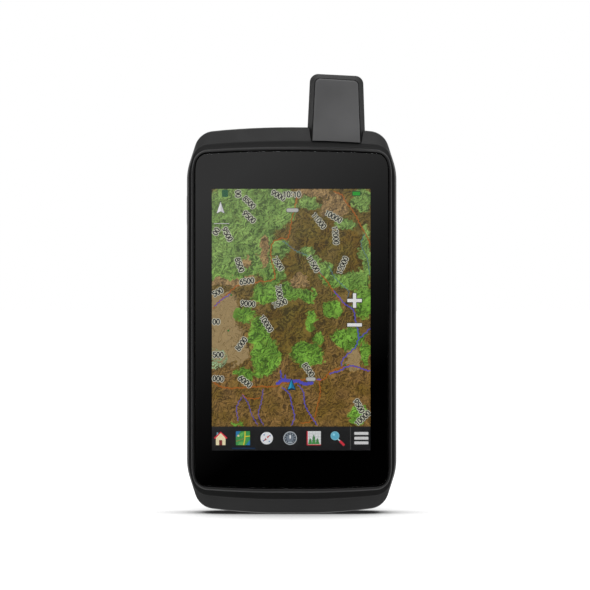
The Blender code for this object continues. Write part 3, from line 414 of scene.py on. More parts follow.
def map_material():
    """A shaded relief: ridges lit from the upper left over forest, bare heights and a flat basin."""
    material, shader, make = new_material("map_picture")
    metres = make("TexCoord", out="Object")
    grow = 1 / PICTURE_SCALE
    spot = vector(make, "MULTIPLY_ADD", metres, (grow / MM,) * 3, PICTURE_CENTRE * (1 - grow))
    centred = (-0.5, -0.5, -0.5)
    swirl = vector(make, "ADD", noise(make, spot, 0.25, 3.0, "Color"), centred)
    frayed = vector(make, "ADD", noise(make, spot, 0.7, 3.0, "Color"), centred)
    torn = vector(make, "MULTIPLY_ADD", swirl, (7, 0, 7), spot)
    torn = vector(make, "MULTIPLY_ADD", frayed, (4.2, 0, 4.2), torn)
    forest, heights, basin, scree, marsh = (ground(make, torn, patches)
                                            for patches in (FOREST, HEIGHTS, BASIN, SCREE, MARSH))
    bent = vector(make, "MULTIPLY_ADD", swirl, (9, 0, 9), spot)
    toward_light = (-0.26, 0, 0.26)

    def slope(scale, kind, stretch=(1, 1, 1)):
        spots = [vector(make, "MULTIPLY", vector(make, "ADD", bent, shift), stretch)
                 for shift in ((0, 0, 0), toward_light)]
        return calc(make, "SUBTRACT", *(noise(make, at, scale, 3.0, noise_type=kind) for at in spots))

    ridges = slope(0.25, "RIDGED_MULTIFRACTAL", (1, 1, 0.5))
    crumbs = slope(0.75, "FBM")
    rugged = calc(make, "SUBTRACT", 1.0, basin)
    folds = times(make, ridges, calc(make, "MULTIPLY_ADD", rugged, 7.6, 0.2))
    folds = times(make, folds, calc(make, "MULTIPLY_ADD", heights, 0.4, 0.7))
    crumbs = times(make, crumbs, calc(make, "MULTIPLY_ADD", rugged, 5.0, 0.6))
    lit = plus(make, plus(make, folds, crumbs), 0.89)
    lit = calc(make, "MAXIMUM", calc(make, "MINIMUM", lit, 1.5), 0.33)

    def patchwork(first, second):
        return blend(make, patchy, tint(first), tint(second))

    patchy = remap(make, noise(make, spot, 0.16, 4.0), 0.38, 0.62)
    height = make("SeparateXYZ", {0: spot}, 2)
    soil = patchwork((120, 92, 50), (102, 80, 32))
    soil = blend(make, remap(make, height, 55, 100, 0.0, 0.75), soil, tint((94, 82, 38)))
    soil = blend(make, heights, soil, patchwork((98, 85, 34), (92, 72, 26)))
    soil = blend(make, scree, soil, tint((136, 112, 74)))
    soil = blend(make, basin, soil, tint((152, 130, 90)))
    green = blend(make, remap(make, height, 88, 106), patchwork((106, 152, 54), (84, 122, 40)),
                  patchwork((122, 152, 80), (96, 124, 62)))
    land = blend(make, times(make, forest, calc(make, "SUBTRACT", 1.0, scree)), soil, green)
    reeds = times(make, marsh, remap(make, crumbs, -0.03, 0.03))
    land = blend(make, reeds, land, tint((132, 160, 120)))

    # contour lines, one for each step of the broad height
    step = calc(make, "FRACT", times(make, noise(make, bent, 0.05, 3.0), 26.0))
    line = remap(make, calc(make, "ABSOLUTE", calc(make, "SUBTRACT", step, 0.5)), 0.0, 0.12, 0.3, 0.0)
    line = times(make, line, calc(make, "MULTIPLY_ADD", basin, 1.2, 1.0))
    shaded = scaled(make, blend(make, line, land, tint((84, 62, 14))), lit)
    feed(make, shader, {"Emission Color": shaded, "Emission Strength": LIT,
                        "Base Color": scaled(make, shaded, PAINT), "Roughness": 0.5})
    return material


# ---- drawing on the screen
# Each line: width in mm, then its points (x, z).
ROADS = [
    (0.42, [(2.0, 133), (2, 131.8), (0.6, 124.8), (-1.7, 114.9), (-4, 114.7), (-7.3, 113.5), (-8.7, 110.7),
            (-8.7, 106.5), (-7.1, 100.5), (-7.8, 97.2), (-15.3, 96.3), (-22.3, 94.9), (-28.8, 89.7),
            (-33.1, 85.1)]),
    (0.42, [(17.4, 134.4), (21.2, 132.5), (22.1, 130.4), (26.3, 124.8), (28.4, 120.6), (31.9, 114.5),
            (33, 111.7)]),
    (0.42, [(7.6, 104.2), (14.2, 97.2), (17.4, 92.5), (22.5, 86.4)]),
    (0.5, [(-33.1, 54.5), (-27.9, 52.1), (-20.9, 52.1), (-13.9, 52.6), (-7.3, 52.6), (-3.6, 54.2), (0, 53.6),
           (4.4, 55.4), (12.8, 55.4), (16, 58.7), (21.2, 60.6), (24, 61.5), (29.1, 60.1), (33.1, 59)]),
    (0.4, [(11.4, 54.9), (11.8, 50.3), (10.9, 44.7), (9, 38.6), (3.4, 37.2)]),
    (0.4, [(-20.9, 49.8), (-18.5, 47.7), (-12.9, 47.7)])]
WATER = [
    (1.15, [(-6.4, 53.3), (-4.5, 54.9), (-2.6, 55.3), (-0.3, 54.8), (2.5, 54.9), (4.8, 53.8), (9.2, 54.0)]),
    (0.5, [(-4.6, 59.6), (-4.3, 57), (-4.2, 55)]),
    (0.5, [(-2.5, 57.6), (-3.4, 55.2)]),
    (0.5, [(10.4, 55.6), (12.3, 55.6)]),
    (0.4, [(33, 77), (29.1, 73.2), (27.7, 71.8), (26.8, 69), (21.6, 64.3), (20.7, 61)]),
    (0.4, [(17.4, 92.8), (20.2, 89.7), (22.1, 87.4), (25.8, 84.6), (26.8, 79.9), (27.7, 76.9), (27.9, 72.4)]),
    (0.45, [(15.6, 58), (20.2, 59.2), (23, 60.9), (26.8, 61.1), (30, 59.7), (33, 59.2)]),
    (0.3, [(-32.4, 86), (-29.3, 89), (-25.5, 91.4)]),
    (0.35, [(-4.1, 52.6), (-0.8, 49.3), (0.15, 44.7), (1.1, 40), (-0.3, 36.3)]),
    (0.35, [(2.5, 53.5), (4.8, 50.3), (5.5, 45.6), (7.2, 41.9), (10.9, 36.3)]),
    (0.25, [(-12, 51.7), (-12.9, 45.6), (-13.9, 40.9), (-11.6, 36.3)]),
    (0.25, [(-20.6, 49.3), (-18.1, 45.6), (-16.7, 40.9), (-14.3, 36.3)]),
    (0.25, [(-20.9, 48.4), (-23.2, 43.7), (-22.3, 38.1)])]
CREEKS = [
    (0.25, [(15.6, 103.3), (17.9, 98.6), (21.2, 95.3), (24, 92.1), (23, 89.7)]),
    (0.25, [(-4, 113.6), (2, 109.4), (8.5, 106), (13, 99)]),
    (0.22, [(30.6, 117), (29, 112), (31.8, 106), (32.6, 99)])]
# The heights written on the map: digits, x, z, turn in degrees.
HEIGHT_MARKS = [
    ("8500", -17.8, 129.7, -45), ("9500", -17.8, 123.6, -42), ("9500", -26.9, 116.3, -62),
    ("9000", -5.6, 132.6, -28), ("11000", 11.4, 122.0, -52), ("10000", 17.4, 123.8, -30),
    ("12000", 18.4, 115.9, -85), ("8500", -21.8, 103.5, -70), ("7500", -5.7, 104.0, -58),
    ("11500", 9.0, 104.0, -60), ("12000", 21.2, 103.3, 65), ("6500", -18.8, 96.7, 8), ("500", -31.0, 92.1, 30),
    ("9000", -18.3, 87.3, -4), ("7000", -5.2, 92.1, -80), ("7500", -5.0, 87.4, 20), ("10000", -10.6, 79.0, -58),
    ("00", -31.6, 79.7, 0), ("8000", -21.1, 70.4, 55), ("500", -30.8, 65.9, 0), ("000", -30.8, 55.9, -4),
    ("6000", -19.5, 54.7, -38), ("8500", 6.9, 59.6, -55), ("9500", 28.2, 44.4, -60), ("10000", 29.6, 39.4, 42),
    ("00", -31.6, 117.5, 60), ("00", -22.4, 133.2, -85)]
DIGIT_PITCH, COLON_PITCH = 0.74, 0.42


def smooth_path(points):
    """Points half a mm apart along a smooth line through the given ones, with a small winding."""
    points = [Vector(p) for p in points]
    ends = [2 * points[0] - points[1], *points, 2 * points[-1] - points[-2]]
    path = []
    for a, b, c, d in zip(ends, ends[1:], ends[2:], ends[3:]):
        count = max(2, round((c - b).length / 0.5))
        for k in range(count):
            t = k / count
            path.append(0.5 * (2 * b + (c - a) * t + (2 * a - 5 * b + 4 * c - d) * t * t
                               + (3 * b - a - 3 * c + d) * t ** 3))
    path.append(points[-1])
    for i, p in enumerate(path[1:-1], 1):
        bend = 0.22 * (math.sin(i * 1.7 + p.x) + 0.6 * math.sin(i * 0.83 + p.y * 2))
        across = (path[i + 1] - path[i - 1]).normalized().orthogonal()
        path[i] = p + across * bend
    return path


def ribbon(path, width, y, ends=0.25):
    """A closed flat strip along a path in the picture's plane, narrowed at both ends."""
    rings = []
    for i, p in enumerate(path):
        along = (path[min(i + 1, len(path) - 1)] - path[max(i - 1, 0)]).normalized()
        side = along.orthogonal() * width / 2
        if i in (0, len(path) - 1):
            side *= ends
        rings.append([Vector((q.x, depth, q.y)) for q, depth in
                      ((p - side, y), (p + side, y), (p + side, y + LAYER * 0.5), (p - side, y + LAYER * 0.5))])
    return loft(rings)


def arc(u, v, wide, tall, start, stop, steps):
    """Points on an ellipse between two angles in degrees."""
    turns = [math.radians(start + (stop - start) * k / steps) for k in range(steps + 1)]
    return [(u + wide * math.cos(t), v + tall * math.sin(t)) for t in turns]


# Pen strokes of the digits, in a cell one high.
STROKES = {
    "0": [arc(0, 0.5, 0.27, 0.5, 90, 450, 18)],
    "1": [[(-0.18, 0.78), (0.06, 1.0), (0.06, 0.0)]],
    "2": [arc(0, 0.73, 0.26, 0.27, 165, -35, 9) + [(-0.26, 0.0), (0.28, 0.0)]],
    "5": [[(0.24, 1.0), (-0.2, 1.0), (-0.24, 0.55)] + arc(0, 0.32, 0.27, 0.32, 120, -150, 11)],
    "6": [[(0.2, 0.97), (-0.08, 0.8)] + arc(0, 0.31, 0.27, 0.31, 160, 520, 16)],
    "7": [[(-0.26, 1.0), (0.26, 1.0), (-0.06, 0.0)]],
    "8": [arc(0, 0.76, 0.21, 0.24, 90, 450, 14), arc(0, 0.27, 0.26, 0.27, 90, 450, 16)],
    "9": [[(-0.2, 0.03), (0.08, 0.2)] + arc(0, 0.69, 0.27, 0.31, -20, 340, 16)],
    ":": [[(0, 0.25)], [(0, 0.78)]]}


class Drawing:
    """Flat shapes in several colours, gathered into one mesh."""

    def __init__(self, name):
        self.name, self.whole, self.materials, self.middle = name, bmesh.new(), {}, (0, 0)

    def add(self, shape, colour):
        slot = self.materials.setdefault(colour, len(self.materials))
        for face in shape.faces:
            face.material_index = slot
        copy = bpy.data.meshes.new("shape")
        shape.to_mesh(copy)
        shape.free()
        self.whole.from_mesh(copy)
        bpy.data.meshes.remove(copy)

    def placed(self, points):
        return [Vector((u + self.middle[0], v + self.middle[1])) for u, v in points]

    def plate(self, outline, layer, colour):
        y = PICTURE_Y - LAYER * layer
        self.add(prism(self.placed(outline), y, y + LAYER * 0.5), colour)

    def disc(self, x, z, radius, layer, colour, sides=40):
        self.plate(circle(radius, sides, x, z), layer, colour)

    def bar(self, x_low, x_high, z_low, z_high, layer, colour, radius=0.0):
        x, half = (x_low + x_high) / 2, (x_high - x_low) / 2
        self.plate(plate_outline(half, z_low, z_high, radius, 4, x), layer, colour)

    def line(self, path, width, layer, colour, ends=1.0):
        self.add(ribbon(self.placed(path), width, PICTURE_Y - LAYER * layer, ends), colour)

    def digits(self, text, x, z, turn, size, layer, colour, weight):
        """Numbers drawn with a round-ended pen, centred on a point."""
        pitch = [COLON_PITCH if letter == ":" else DIGIT_PITCH for letter in text]
        turned = Matrix.Rotation(math.radians(turn), 2) * size
        for k, letter in enumerate(text):
            middle = sum(pitch[:k]) + (pitch[k] - sum(pitch)) / 2
            for stroke in STROKES[letter]:
                points = [Vector((x, z)) + turned @ Vector((middle + u, v - 0.5)) for u, v in stroke]
                self.stroke(points, weight, layer + 0.12 * (k % 2), colour)

    def stroke(self, points, weight, layer, colour):
        """One line of the pen: a dot, a closed loop, or a line whose ends run on a little and narrow."""
        if len(points) == 1:
            self.disc(*points[0], weight * 0.62, layer, colour, 12)
        elif points[0] == points[-1]:
            self.line(points, weight, layer, colour)
        else:
            start, end = (points[0] - points[1]).normalized(), (points[-1] - points[-2]).normalized()
            longer = [points[0] + start * weight * 0.3, *points, points[-1] + end * weight * 0.3]
            self.line(longer, weight, layer, colour, 0.55)

    def finish(self):
        shrink = Matrix.Diagonal((PICTURE_SCALE, 1, PICTURE_SCALE, 1))
        self.whole.transform(Matrix.Translation(PICTURE_CENTRE) @ shrink @ Matrix.Translation(-PICTURE_CENTRE))
        thing = mesh_object(self.name, self.whole)
        for colour in self.materials:
            thing.data.materials.append(lit_ink("ink_" + "_".join(str(c) for c in colour), colour))
        claim(thing, "case", "display")


def circle(radius, sides, u, v):
    return [(u + radius * math.cos(math.tau * k / sides), v + radius * math.sin(math.tau * k / sides))
            for k in range(sides)]


def map_lines():
    pen = Drawing("map_lines")
    groups = ((ROADS, (150, 84, 28), 1), (CREEKS, (74, 104, 118), 1.5), (WATER, (72, 70, 166), 2))
    for group, colour, layer in groups:
        for width, points in group:
            pen.add(ribbon(smooth_path(points), width * 1.1, PICTURE_Y - LAYER * layer), colour)
    pen.finish()


def map_marks():
    pen = Drawing("map_marks")
    black, halo, light, dark = (8, 8, 8), (182, 182, 166), (208, 208, 208), (34, 34, 34)
    for text, x, z, turn in HEIGHT_MARKS:
        pen.digits(text, x, z, turn, 2.1, 3, halo, 0.98)
        pen.digits(text, x, z, turn, 2.1, 4.2, black, 0.45)
    pen.digits("10:10", 0, 133.0, 0, 2.25, 5.2, halo, 1.02)
    pen.digits("10:10", 0, 133.0, 0, 2.25, 6.4, black, 0.48)
    for x, z in ((-25.3, 90.9), (17.9, 91.0), (-26.5, 76.0), (22.5, 61.5)):
        pen.disc(x, z, 0.42, 3, (22, 104, 42), 20)
    for x, z, half in ((0.3, 126.4, 2.7), (8.0, 55.7, 2.2)):
        pen.bar(x - half, x + half, z - 0.95, z + 0.95, 3.6, (92, 92, 88), 0.9)
        pen.bar(x - half + 0.25, x + half - 0.25, z - 0.7, z + 0.7, 4.4, (168, 168, 164), 0.65)
    pen.bar(25.2, 28.9, 132.3, 134.4, 5, (44, 60, 40), 0.3)
    pen.bar(28.8, 29.3, 132.9, 133.8, 5, (44, 60, 40), 0.1)
    pen.bar(25.5, 28.6, 132.6, 134.1, 6, (34, 142, 40), 0.1)
    pen.bar(-29.2, -26.6, 131.9, 134.9, 2.4, (28, 82, 52), 0.5)
    for grow, layer, left, right in ((0.22, 5, dark, dark), (0.0, 6, (214, 214, 214), (184, 184, 186))):
        notch, tip, tail = (-29.75, 125.9 - grow), (-29.75, 129.9 + grow * 2), 125.1 - grow
        pen.plate([(-31.4 - grow, tail), tip, notch], layer, left)
        pen.plate([notch, (-28.1 + grow, tail), tip], layer, right)
    pen.bar(-32.6, -26.0, 120.6, 120.95, 5, dark)
    pen.bar(-32.5, -26.1, 120.68, 120.87, 6, light)
    for x, z, upright in ((26.3, 88.6, True), (26.3, 78.4, False)):
        for grow, layer, colour in ((0.28, 6, (44, 48, 40)), (0.0, 7.4, (212, 212, 212))):
            far, near = 3.05 + grow, 0.68 + grow
            pen.bar(x - far, x + far, z - near, z + near, layer, colour, 0.2)
            if upright:
                pen.bar(x - near, x + near, z - far, z + far, layer + 0.6, colour, 0.2)
    pen.plate([(-2.0, 51.1), (1.8, 51.1), (-0.1, 56.3)], 5, (18, 44, 60))
    pen.plate([(-1.6, 51.4), (-0.1, 52.1), (-0.1, 55.5)], 6, (38, 142, 178))
    pen.plate([(-0.1, 52.1), (1.4, 51.4), (-0.1, 55.5)], 6, (16, 98, 138))
    pen.finish()


def tool_bar():
    pen = Drawing("tool_bar")
    half = SCREEN_HALF + PANEL_MARGIN - 0.2
    pen.bar(-half, half, SCREEN_LOW - 2.0, BAR_TOP, 5, (26, 26, 27))
    pen.bar(-half, half, BAR_TOP - 1.6, BAR_TOP, 5.6, (31, 31, 32))
    pen.bar(-24.9, -15.3, 26.5, 27.0, 6, (20, 48, 78))
    pen.bar(24.52, 24.68, 26.2, BAR_TOP - 0.2, 6, (84, 84, 84))
    for z in (33.0, ICON_Z, 29.05):
        pen.bar(26.2, 32.1, z - 0.6, z + 0.6, 6, (192, 192, 192), 0.25)
    for icon, x, lift in ((house_icon, -29.7, 0), (chart_icon, -20.4, 0), (compass_icon, -10.45, 0),
                          (gauge_icon, -0.65, 0), (trees_icon, 9.25, 0), (lens_icon, 18.1, 1)):
        pen.middle = x, ICON_Z + lift
        icon(pen)
    pen.finish()


def house_icon(pen):
    pen.bar(-1.7, -1.0, 0.6, 2.4, 6, (96, 146, 158))
    walls = [(-2.0, -2.9), (2.0, -2.9), (2.0, 0.2), (0, 2.1), (-2.0, 0.2)]
    pen.plate(walls, 7, (216, 206, 168))
    pen.bar(-0.65, 0.65, -2.9, -0.8, 8, (112, 40, 42))
    pen.line([(-2.6, -0.1), (0, 2.45), (2.6, -0.1)], 0.62, 9, (204, 44, 62))


def chart_icon(pen):
    low, left = -2.9, -2.95
    pen.bar(left, 2.95, low, 2.9, 6, (58, 136, 72))
    pen.plate([(left, 2.9), (left, 0.4), (-0.9, 2.9)], 7, (40, 112, 158))
    pen.plate([(2.95, low), (2.95, -0.6), (1.2, low)], 7, (40, 112, 158))
    pen.plate([(-0.6, 0.4), (0.9, 2.9), (-1.5, 1.6)], 7, (96, 164, 84))
    pen.plate([(-2.2, low), (0.6, low), (0.2, -1.4), (-1.4, -1.7)], 7, (92, 158, 80))
    pen.disc(-1.9, 1.0, 0.45, 8, (208, 196, 150), 16)
    pen.line([(0.3, low), (0.8, -0.4), (0.9, 2.9)], 0.4, 8, (206, 186, 48))
    pen.line([(0.8, 0.7), (2.95, 0.9)], 0.36, 8.6, (206, 186, 48))
    for k in range(4):
        u = -2.7 + 0.8 * k
        pen.line([(u, -1.3 + 0.3 * k), (u + 0.45, -1.1 + 0.3 * k)], 0.26, 8.6, (176, 52, 56))


def compass_icon(pen):
    pen.disc(0, 0, 2.85, 6, (22, 26, 30))
    pen.disc(0, 0, 2.6, 7, (206, 208, 210))
    for k in range(4):
        turn = math.tau * (k + 0.42) / 4
        pen.disc(1.75 * math.cos(turn), 1.75 * math.sin(turn), 0.3, 8, (70, 124, 168), 14)
    pen.plate([(1.5, 1.5), (-0.1, 0.45), (0.45, -0.1)], 9, (172, 34, 44))
    pen.plate([(-1.5, -1.5), (0.1, -0.45), (-0.45, 0.1)], 9, (140, 26, 36))
    pen.disc(0, 0, 0.36, 10, (214, 214, 214), 16)


def gauge_icon(pen):
    pen.disc(0, 0, 2.8, 6, (176, 182, 186))
    pen.disc(0, 0, 2.5, 7, (64, 74, 84))
    pen.disc(0, 0, 1.5, 8, (104, 114, 124))
    for tick in zip(arc(0, 0, 1.75, 1.75, -40, 220, 8), arc(0, 0, 2.25, 2.25, -40, 220, 8)):
        pen.line(tick, 0.2, 8.6, (168, 174, 178))
    pen.bar(-0.24, 0.24, -0.2, 1.3, 9, (222, 222, 222), 0.1)
    pen.bar(-1.0, 1.0, -2.1, -1.5, 9, (150, 158, 164), 0.2)


def trees_icon(pen):
    pen.bar(-2.95, 2.95, -2.95, 2.95, 6, (196, 198, 198))
    for k in range(1, 5):
        offset = -2.95 + 1.18 * k
        pen.bar(-2.95, 2.95, offset - 0.05, offset + 0.05, 7, (150, 152, 154))
        pen.bar(offset - 0.05, offset + 0.05, -2.95, 2.95, 7.6, (150, 152, 154))
    for offset, tall in ((-1.5, 2.6), (1.5, 2.6), (0.0, 4.2)):
        for tier in range(3):
            low = -2.5 + tall * 0.27 * tier
            wide = 1.15 - 0.25 * tier
            boughs = [(offset - wide, low), (offset + wide, low), (offset, low + tall * 0.46)]
            pen.plate(boughs, 8 + tier * 0.6, (58, 128 - 8 * tier, 62))
    pen.bar(-2.95, -2.5, -2.95, 2.95, 10.4, (186, 42, 58))
    pen.bar(-2.95, 2.95, -2.95, -2.6, 10.8, (186, 42, 58))


def lens_icon(pen):
    pen.line([(1.1, -1.2), (2.2, -2.3)], 0.4, 6, (176, 206, 212))
    pen.line([(2.0, -2.1), (3.9, -4.0)], 0.95, 7, (190, 46, 58))
    pen.disc(0, 0, 1.85, 8, (110, 168, 184))
    pen.disc(0, 0, 1.5, 9, (84, 158, 182))
    pen.disc(-0.45, 0.5, 0.5, 10, (136, 194, 208), 20)


def screen(ink):
    """The ink behind the glass, and the picture that shows through its window."""
    outline = plate_outline(SCREEN_HALF + PANEL_MARGIN, PANEL_LOW, PANEL_HIGH, 0.6)
    piece("map_screen", prism(outline, PICTURE_Y, PANEL_BACK_Y), map_material(), "case", "display",
          "display_panel")
    face = (GLASS_FRONT_Y - 0.03, GLASS_FRONT_Y - 0.01)
    mask = mesh_object("glass_ink", skin([(inset(GLASS, 0.16), y) for y in face]))
    cut(mask, block((SCREEN_X - SCREEN_HALF, -17, SCREEN_LOW), (SCREEN_X + SCREEN_HALF, -13, SCREEN_HIGH)))
    coat(mask, ink)
    claim(mask, "case", "mask_ink", "bezel_mask")
    map_lines()
    map_marks()
    tool_bar()


# ---- case
def skin(rings, closed=False):
    """Mesh through case outlines, each at its y."""
    return loft([at_depth(case_outline(shape), y) for shape, y in rings], closed)


def front_skin(material):
    """The front half of the case: flare, steep band, ledge, rolled lip and the seat of the glass."""
    shoulder, foot = mix(BAND, BODY, 0.9), mix(BAND, BODY, 0.05)
    ledge_out, ledge_in = mix(BAND, LIP, 0.12), mix(BAND, LIP, 0.86)
    crest, inner = inset(LIP, 0.95), inset(LIP, 2.3)
    rings = [(inset(BODY, SEAM_BEVEL), SPLIT_Y), (BODY, SPLIT_Y - GAP), (BODY, -3.0), (BODY, FLARE_Y)]
    rings += quarter(BODY, FLARE_Y, shoulder, SHOULDER_Y, "along")
    rings += straight(shoulder, SHOULDER_Y, foot, BAND_Y + 0.3, 3)
    rings += quarter(foot, BAND_Y + 0.3, ledge_out, BAND_Y, "along", 3)
    rings += straight(ledge_out, BAND_Y, ledge_in, LEDGE_Y, 2)
    rings += quarter(ledge_in, LEDGE_Y, LIP, LEDGE_Y - 0.3, "across", 3)
    rings += [(LIP, -15.2)]
    rings += quarter(LIP, -15.2, crest, LIP_CREST_Y, "along")
    rings += quarter(crest, LIP_CREST_Y, POCKET, -16.1, "across", 4)
    rings += [(POCKET, SEAT_Y), (WINDOW, SEAT_Y), (WINDOW, -13.0), (inner, -13.0),
              (mix(inner, CAVITY, 0.75), -8.5), (CAVITY, SPLIT_Y)]
    case = piece("front_shell", skin(rings, closed=True), material, "case", "case_plastic", "front_housing")
    cut(case, *grip_recess(GRIP_FRONT_Y - GAP, SPLIT_Y + 2),
        block((-OUTSIDE_X, BUTTON_FRONT_Y - GAP, BUTTON_LOW - GAP),
              (BUTTON_BACK_X + 1.3, BUTTON_BACK_Y + GAP, BUTTON_HIGH + GAP)))


def pocket(half, low, high, corner, y_low, x=0.0, y_high=PAST_BACK_Y, steps=6):
    return prism(plate_outline(half, low, high, corner, steps, x), y_low, y_high)


def bore(radius, sides, x, z, y_low, y_high=PAST_BACK_Y):
    return prism(circle(radius, sides, x, z), y_low, y_high)


def rear_skin(material):
    """The back half of the case, with its battery bay, seats and holes."""
    edge, floor_y = SPLIT_Y + GAP, SPLIT_Y + GAP + GROOVE_DEPTH
    inner = inset(GROOVE, GROOVE_WIDTH)
    rings = [(mix(CAVITY, BACK, 0.45), REAR_CEILING_Y), (CAVITY, 8.5), (CAVITY, edge),
             (inner, edge), (inner, floor_y), (GROOVE, floor_y), (GROOVE, edge),
             (inset(BODY, SEAM_BEVEL), edge), (BODY, edge + GAP), (BODY, SIDE_BACK_Y)]
    rings += [(mix(BODY, BACK, share), y) for share, y in BACK_CURVE]
    case = piece("rear_shell", skin(rings), material, "case", "case_plastic", "rear_housing")
    half, top_y = BAY_HALF + BAY_WALL, REAR_CEILING_Y + 1
    cut(case, block((-half, BAY_FLOOR_Y - BAY_WALL, BAY_LOW - BAY_WALL), (half, top_y, BAY_HIGH + BAY_WALL)),
        *(bore(BOSS_RADIUS, 24, x, z, edge, top_y) for x, z in SCREW_SPOTS), operation="UNION")
    cut(case, pocket(BAY_HALF, BAY_LOW, BAY_HIGH, 3.0, BAY_FLOOR_Y),
        pocket(DOOR_HALF + GAP, DOOR_LOW - GAP, DOOR_HIGH + GAP, 4.0, DOOR_SEAT_Y))
    cut(case, *(block((x - TAB_ROOM, 11.6, DOOR_HIGH - 3.5), (x + TAB_ROOM, 15.2, DOOR_HIGH + 2))
                for x in (-TAB_X, TAB_X)))
    for x, z in SCREW_SPOTS:
        cut(case, bore(SHANK_RADIUS + GAP, 20, x, z, -1), bore(HEAD_RADIUS + GAP, 32, x, z, HEAD_SEAT_Y))
    cut(case, *grip_recess(-2, GRIP_BACK_Y + GAP))
    cut(case, pocket(7.5, USB_Z - 4.5, USB_Z + 4.5, 0.3, CAP_FLOOR_Y, CAP_X, steps=1),
        pocket(4.8, JACK_Z - 4.8, JACK_Z + 4.8, 0.3, CAP_FLOOR_Y, CAP_X, steps=1),
        pocket(4.6, USB_Z - 2.4, USB_Z + 2.4, 0.8, SOCKET_FRONT_Y, CAP_X, SOCKET_BACK_Y),
        bore(2.9, 28, CAP_X, JACK_Z, SOCKET_FRONT_Y, SOCKET_BACK_Y),
        pocket(MOUNT_HALF + GAP, MOUNT_LOW - GAP, MOUNT_HIGH + GAP, 2.5, MOUNT_SEAT_Y),
        block((-ENTRY_HALF, ENTRY_FLOOR_Y, ENTRY_LOW), (ENTRY_HALF, PAST_BACK_Y, MOUNT_LOW)),
        *(bore(SHANK_RADIUS + GAP, 20, x, MOUNT_SCREW_Z, 5, 14) for x in (-MOUNT_SCREW_X, MOUNT_SCREW_X)),
        pocket(7.3, SPEAKER_Z - 4.3, SPEAKER_Z + 4.3, 2.0, SPEAKER_SEAT_Y, SPEAKER_X),
        pocket(5.0, SPEAKER_Z - 2.5, SPEAKER_Z + 2.5, 1.0, 5, SPEAKER_X, 16),
        pocket(7.3, CONTACT_Z - 3.3, CONTACT_Z + 3.3, 1.5, CONTACT_SEAT_Y, SPEAKER_X),
        block(*CARD_ROOM))


def grip_recess(y_low, y_high):
    low, high = GRIP_LOW - GAP, GRIP_HIGH + GAP
    floor_x = BODY.half - PAD_PROUD - GRIP_THICK - GAP
    return [block((-OUTSIDE_X, y_low, low), (-floor_x, y_high, high)),
            block((floor_x, y_low, low), (OUTSIDE_X, y_high, high))]


def cover(glass):
    edge = 0.15
    flat = [(inset(GLASS, edge + 0.06), GLASS_FRONT_Y), (inset(GLASS, edge), GLASS_FRONT_Y)]
    rings = flat + quarter(inset(GLASS, edge), GLASS_FRONT_Y, GLASS, GLASS_FRONT_Y + edge, "across", 4)
    rings += [(GLASS, GLASS_BACK_Y)]
    piece("screen_glass", skin(rings), glass, "case", "cover_glass", "cover_glass", sharp=40)


def stub_outline(by):
    """The antenna's outline, by mm inside its silhouette."""
    drop = STUB_TOP_LEFT - STUB_LOW
    corner = max(STUB_CORNER - by * 0.6, 0.8)
    return rounded([
        (STUB_RIGHT + STUB_LEAN_RIGHT * drop - by, STUB_LOW, 0),
        (STUB_RIGHT - by, STUB_TOP_RIGHT - by, corner),
        (STUB_LEFT + by, STUB_TOP_LEFT - by, corner),
        (STUB_LEFT - STUB_LEAN_LEFT * drop + by, STUB_LOW, 0)], CORNER_CHORDS)


def bow(first, y_first, last, y_last, steps=6):
    """Like quarter, for plain insets: sets off along Y and ends across."""
    return [(first + (last - first) * (1 - math.cos(math.pi / 2 * k / steps)),
             y_first + (y_last - y_first) * math.sin(math.pi / 2 * k / steps)) for k in range(1, steps + 1)]


def antenna(plastic, panel):
    """The stub, and the lighter panel let into its front. Both stop short of the case."""
    front_y, panel_y, floor_y = STUB_FRONT_Y, STUB_FRONT_Y - 0.35, STUB_FRONT_Y + 1.0

    def stub_skin(rings):
        return loft([at_depth(stub_outline(by), y) for by, y in rings])

    def over_ledge():
        return prism(case_outline(inset(BAND, -0.15)), BAND_Y + 0.2, -20)

    rings = [(2.3, front_y - 0.02), (2.05, front_y), (1.9, front_y + 0.1), (0.15, -8.1), (0.0, -7.8)]
    stub = mesh_object("antenna_stub", stub_skin([*rings, (0.0, 4.6), *bow(0.0, 4.6, 3.0, 7.8)]))
    cut(stub, prism(stub_outline(2.1), floor_y, -20), envelope(0.12), over_ledge())
    coat(stub, plastic)
    claim(stub, "case", "case_plastic", "antenna_housing")
    rings = [(2.2, -11.5), (2.2, front_y)] + [(2.2 + by, y) for by, y in bow(0.0, front_y, 0.6, panel_y, 5)]
    face = mesh_object("antenna_face", stub_skin([*rings, (3.0, panel_y)]))
    cut(face, envelope(0.08), over_ledge())
    coat(face, panel)
    claim(face, "case", "antenna_cover", "antenna_front_cover")


def envelope(by):
    """The case's outer skin, by mm larger all round, as one solid."""
    shoulder = mix(BAND, BODY, 0.9)
    rings = [(LIP, LIP_CREST_Y), (LIP, LEDGE_Y), (BAND, BAND_Y), (mix(BAND, BODY, 0.05), BAND_Y + 0.3),
             (shoulder, SHOULDER_Y), *quarter(BODY, FLARE_Y, shoulder, SHOULDER_Y, "along")[-2::-1],
             (BODY, FLARE_Y), (BODY, SIDE_BACK_Y), (mix(BODY, BACK, 0.25), 12.2), (mix(BODY, BACK, 0.65), 14.8),
             (BACK, PLATEAU_Y)]
    return skin([(inset(shape, -by), y) for shape, y in rings])


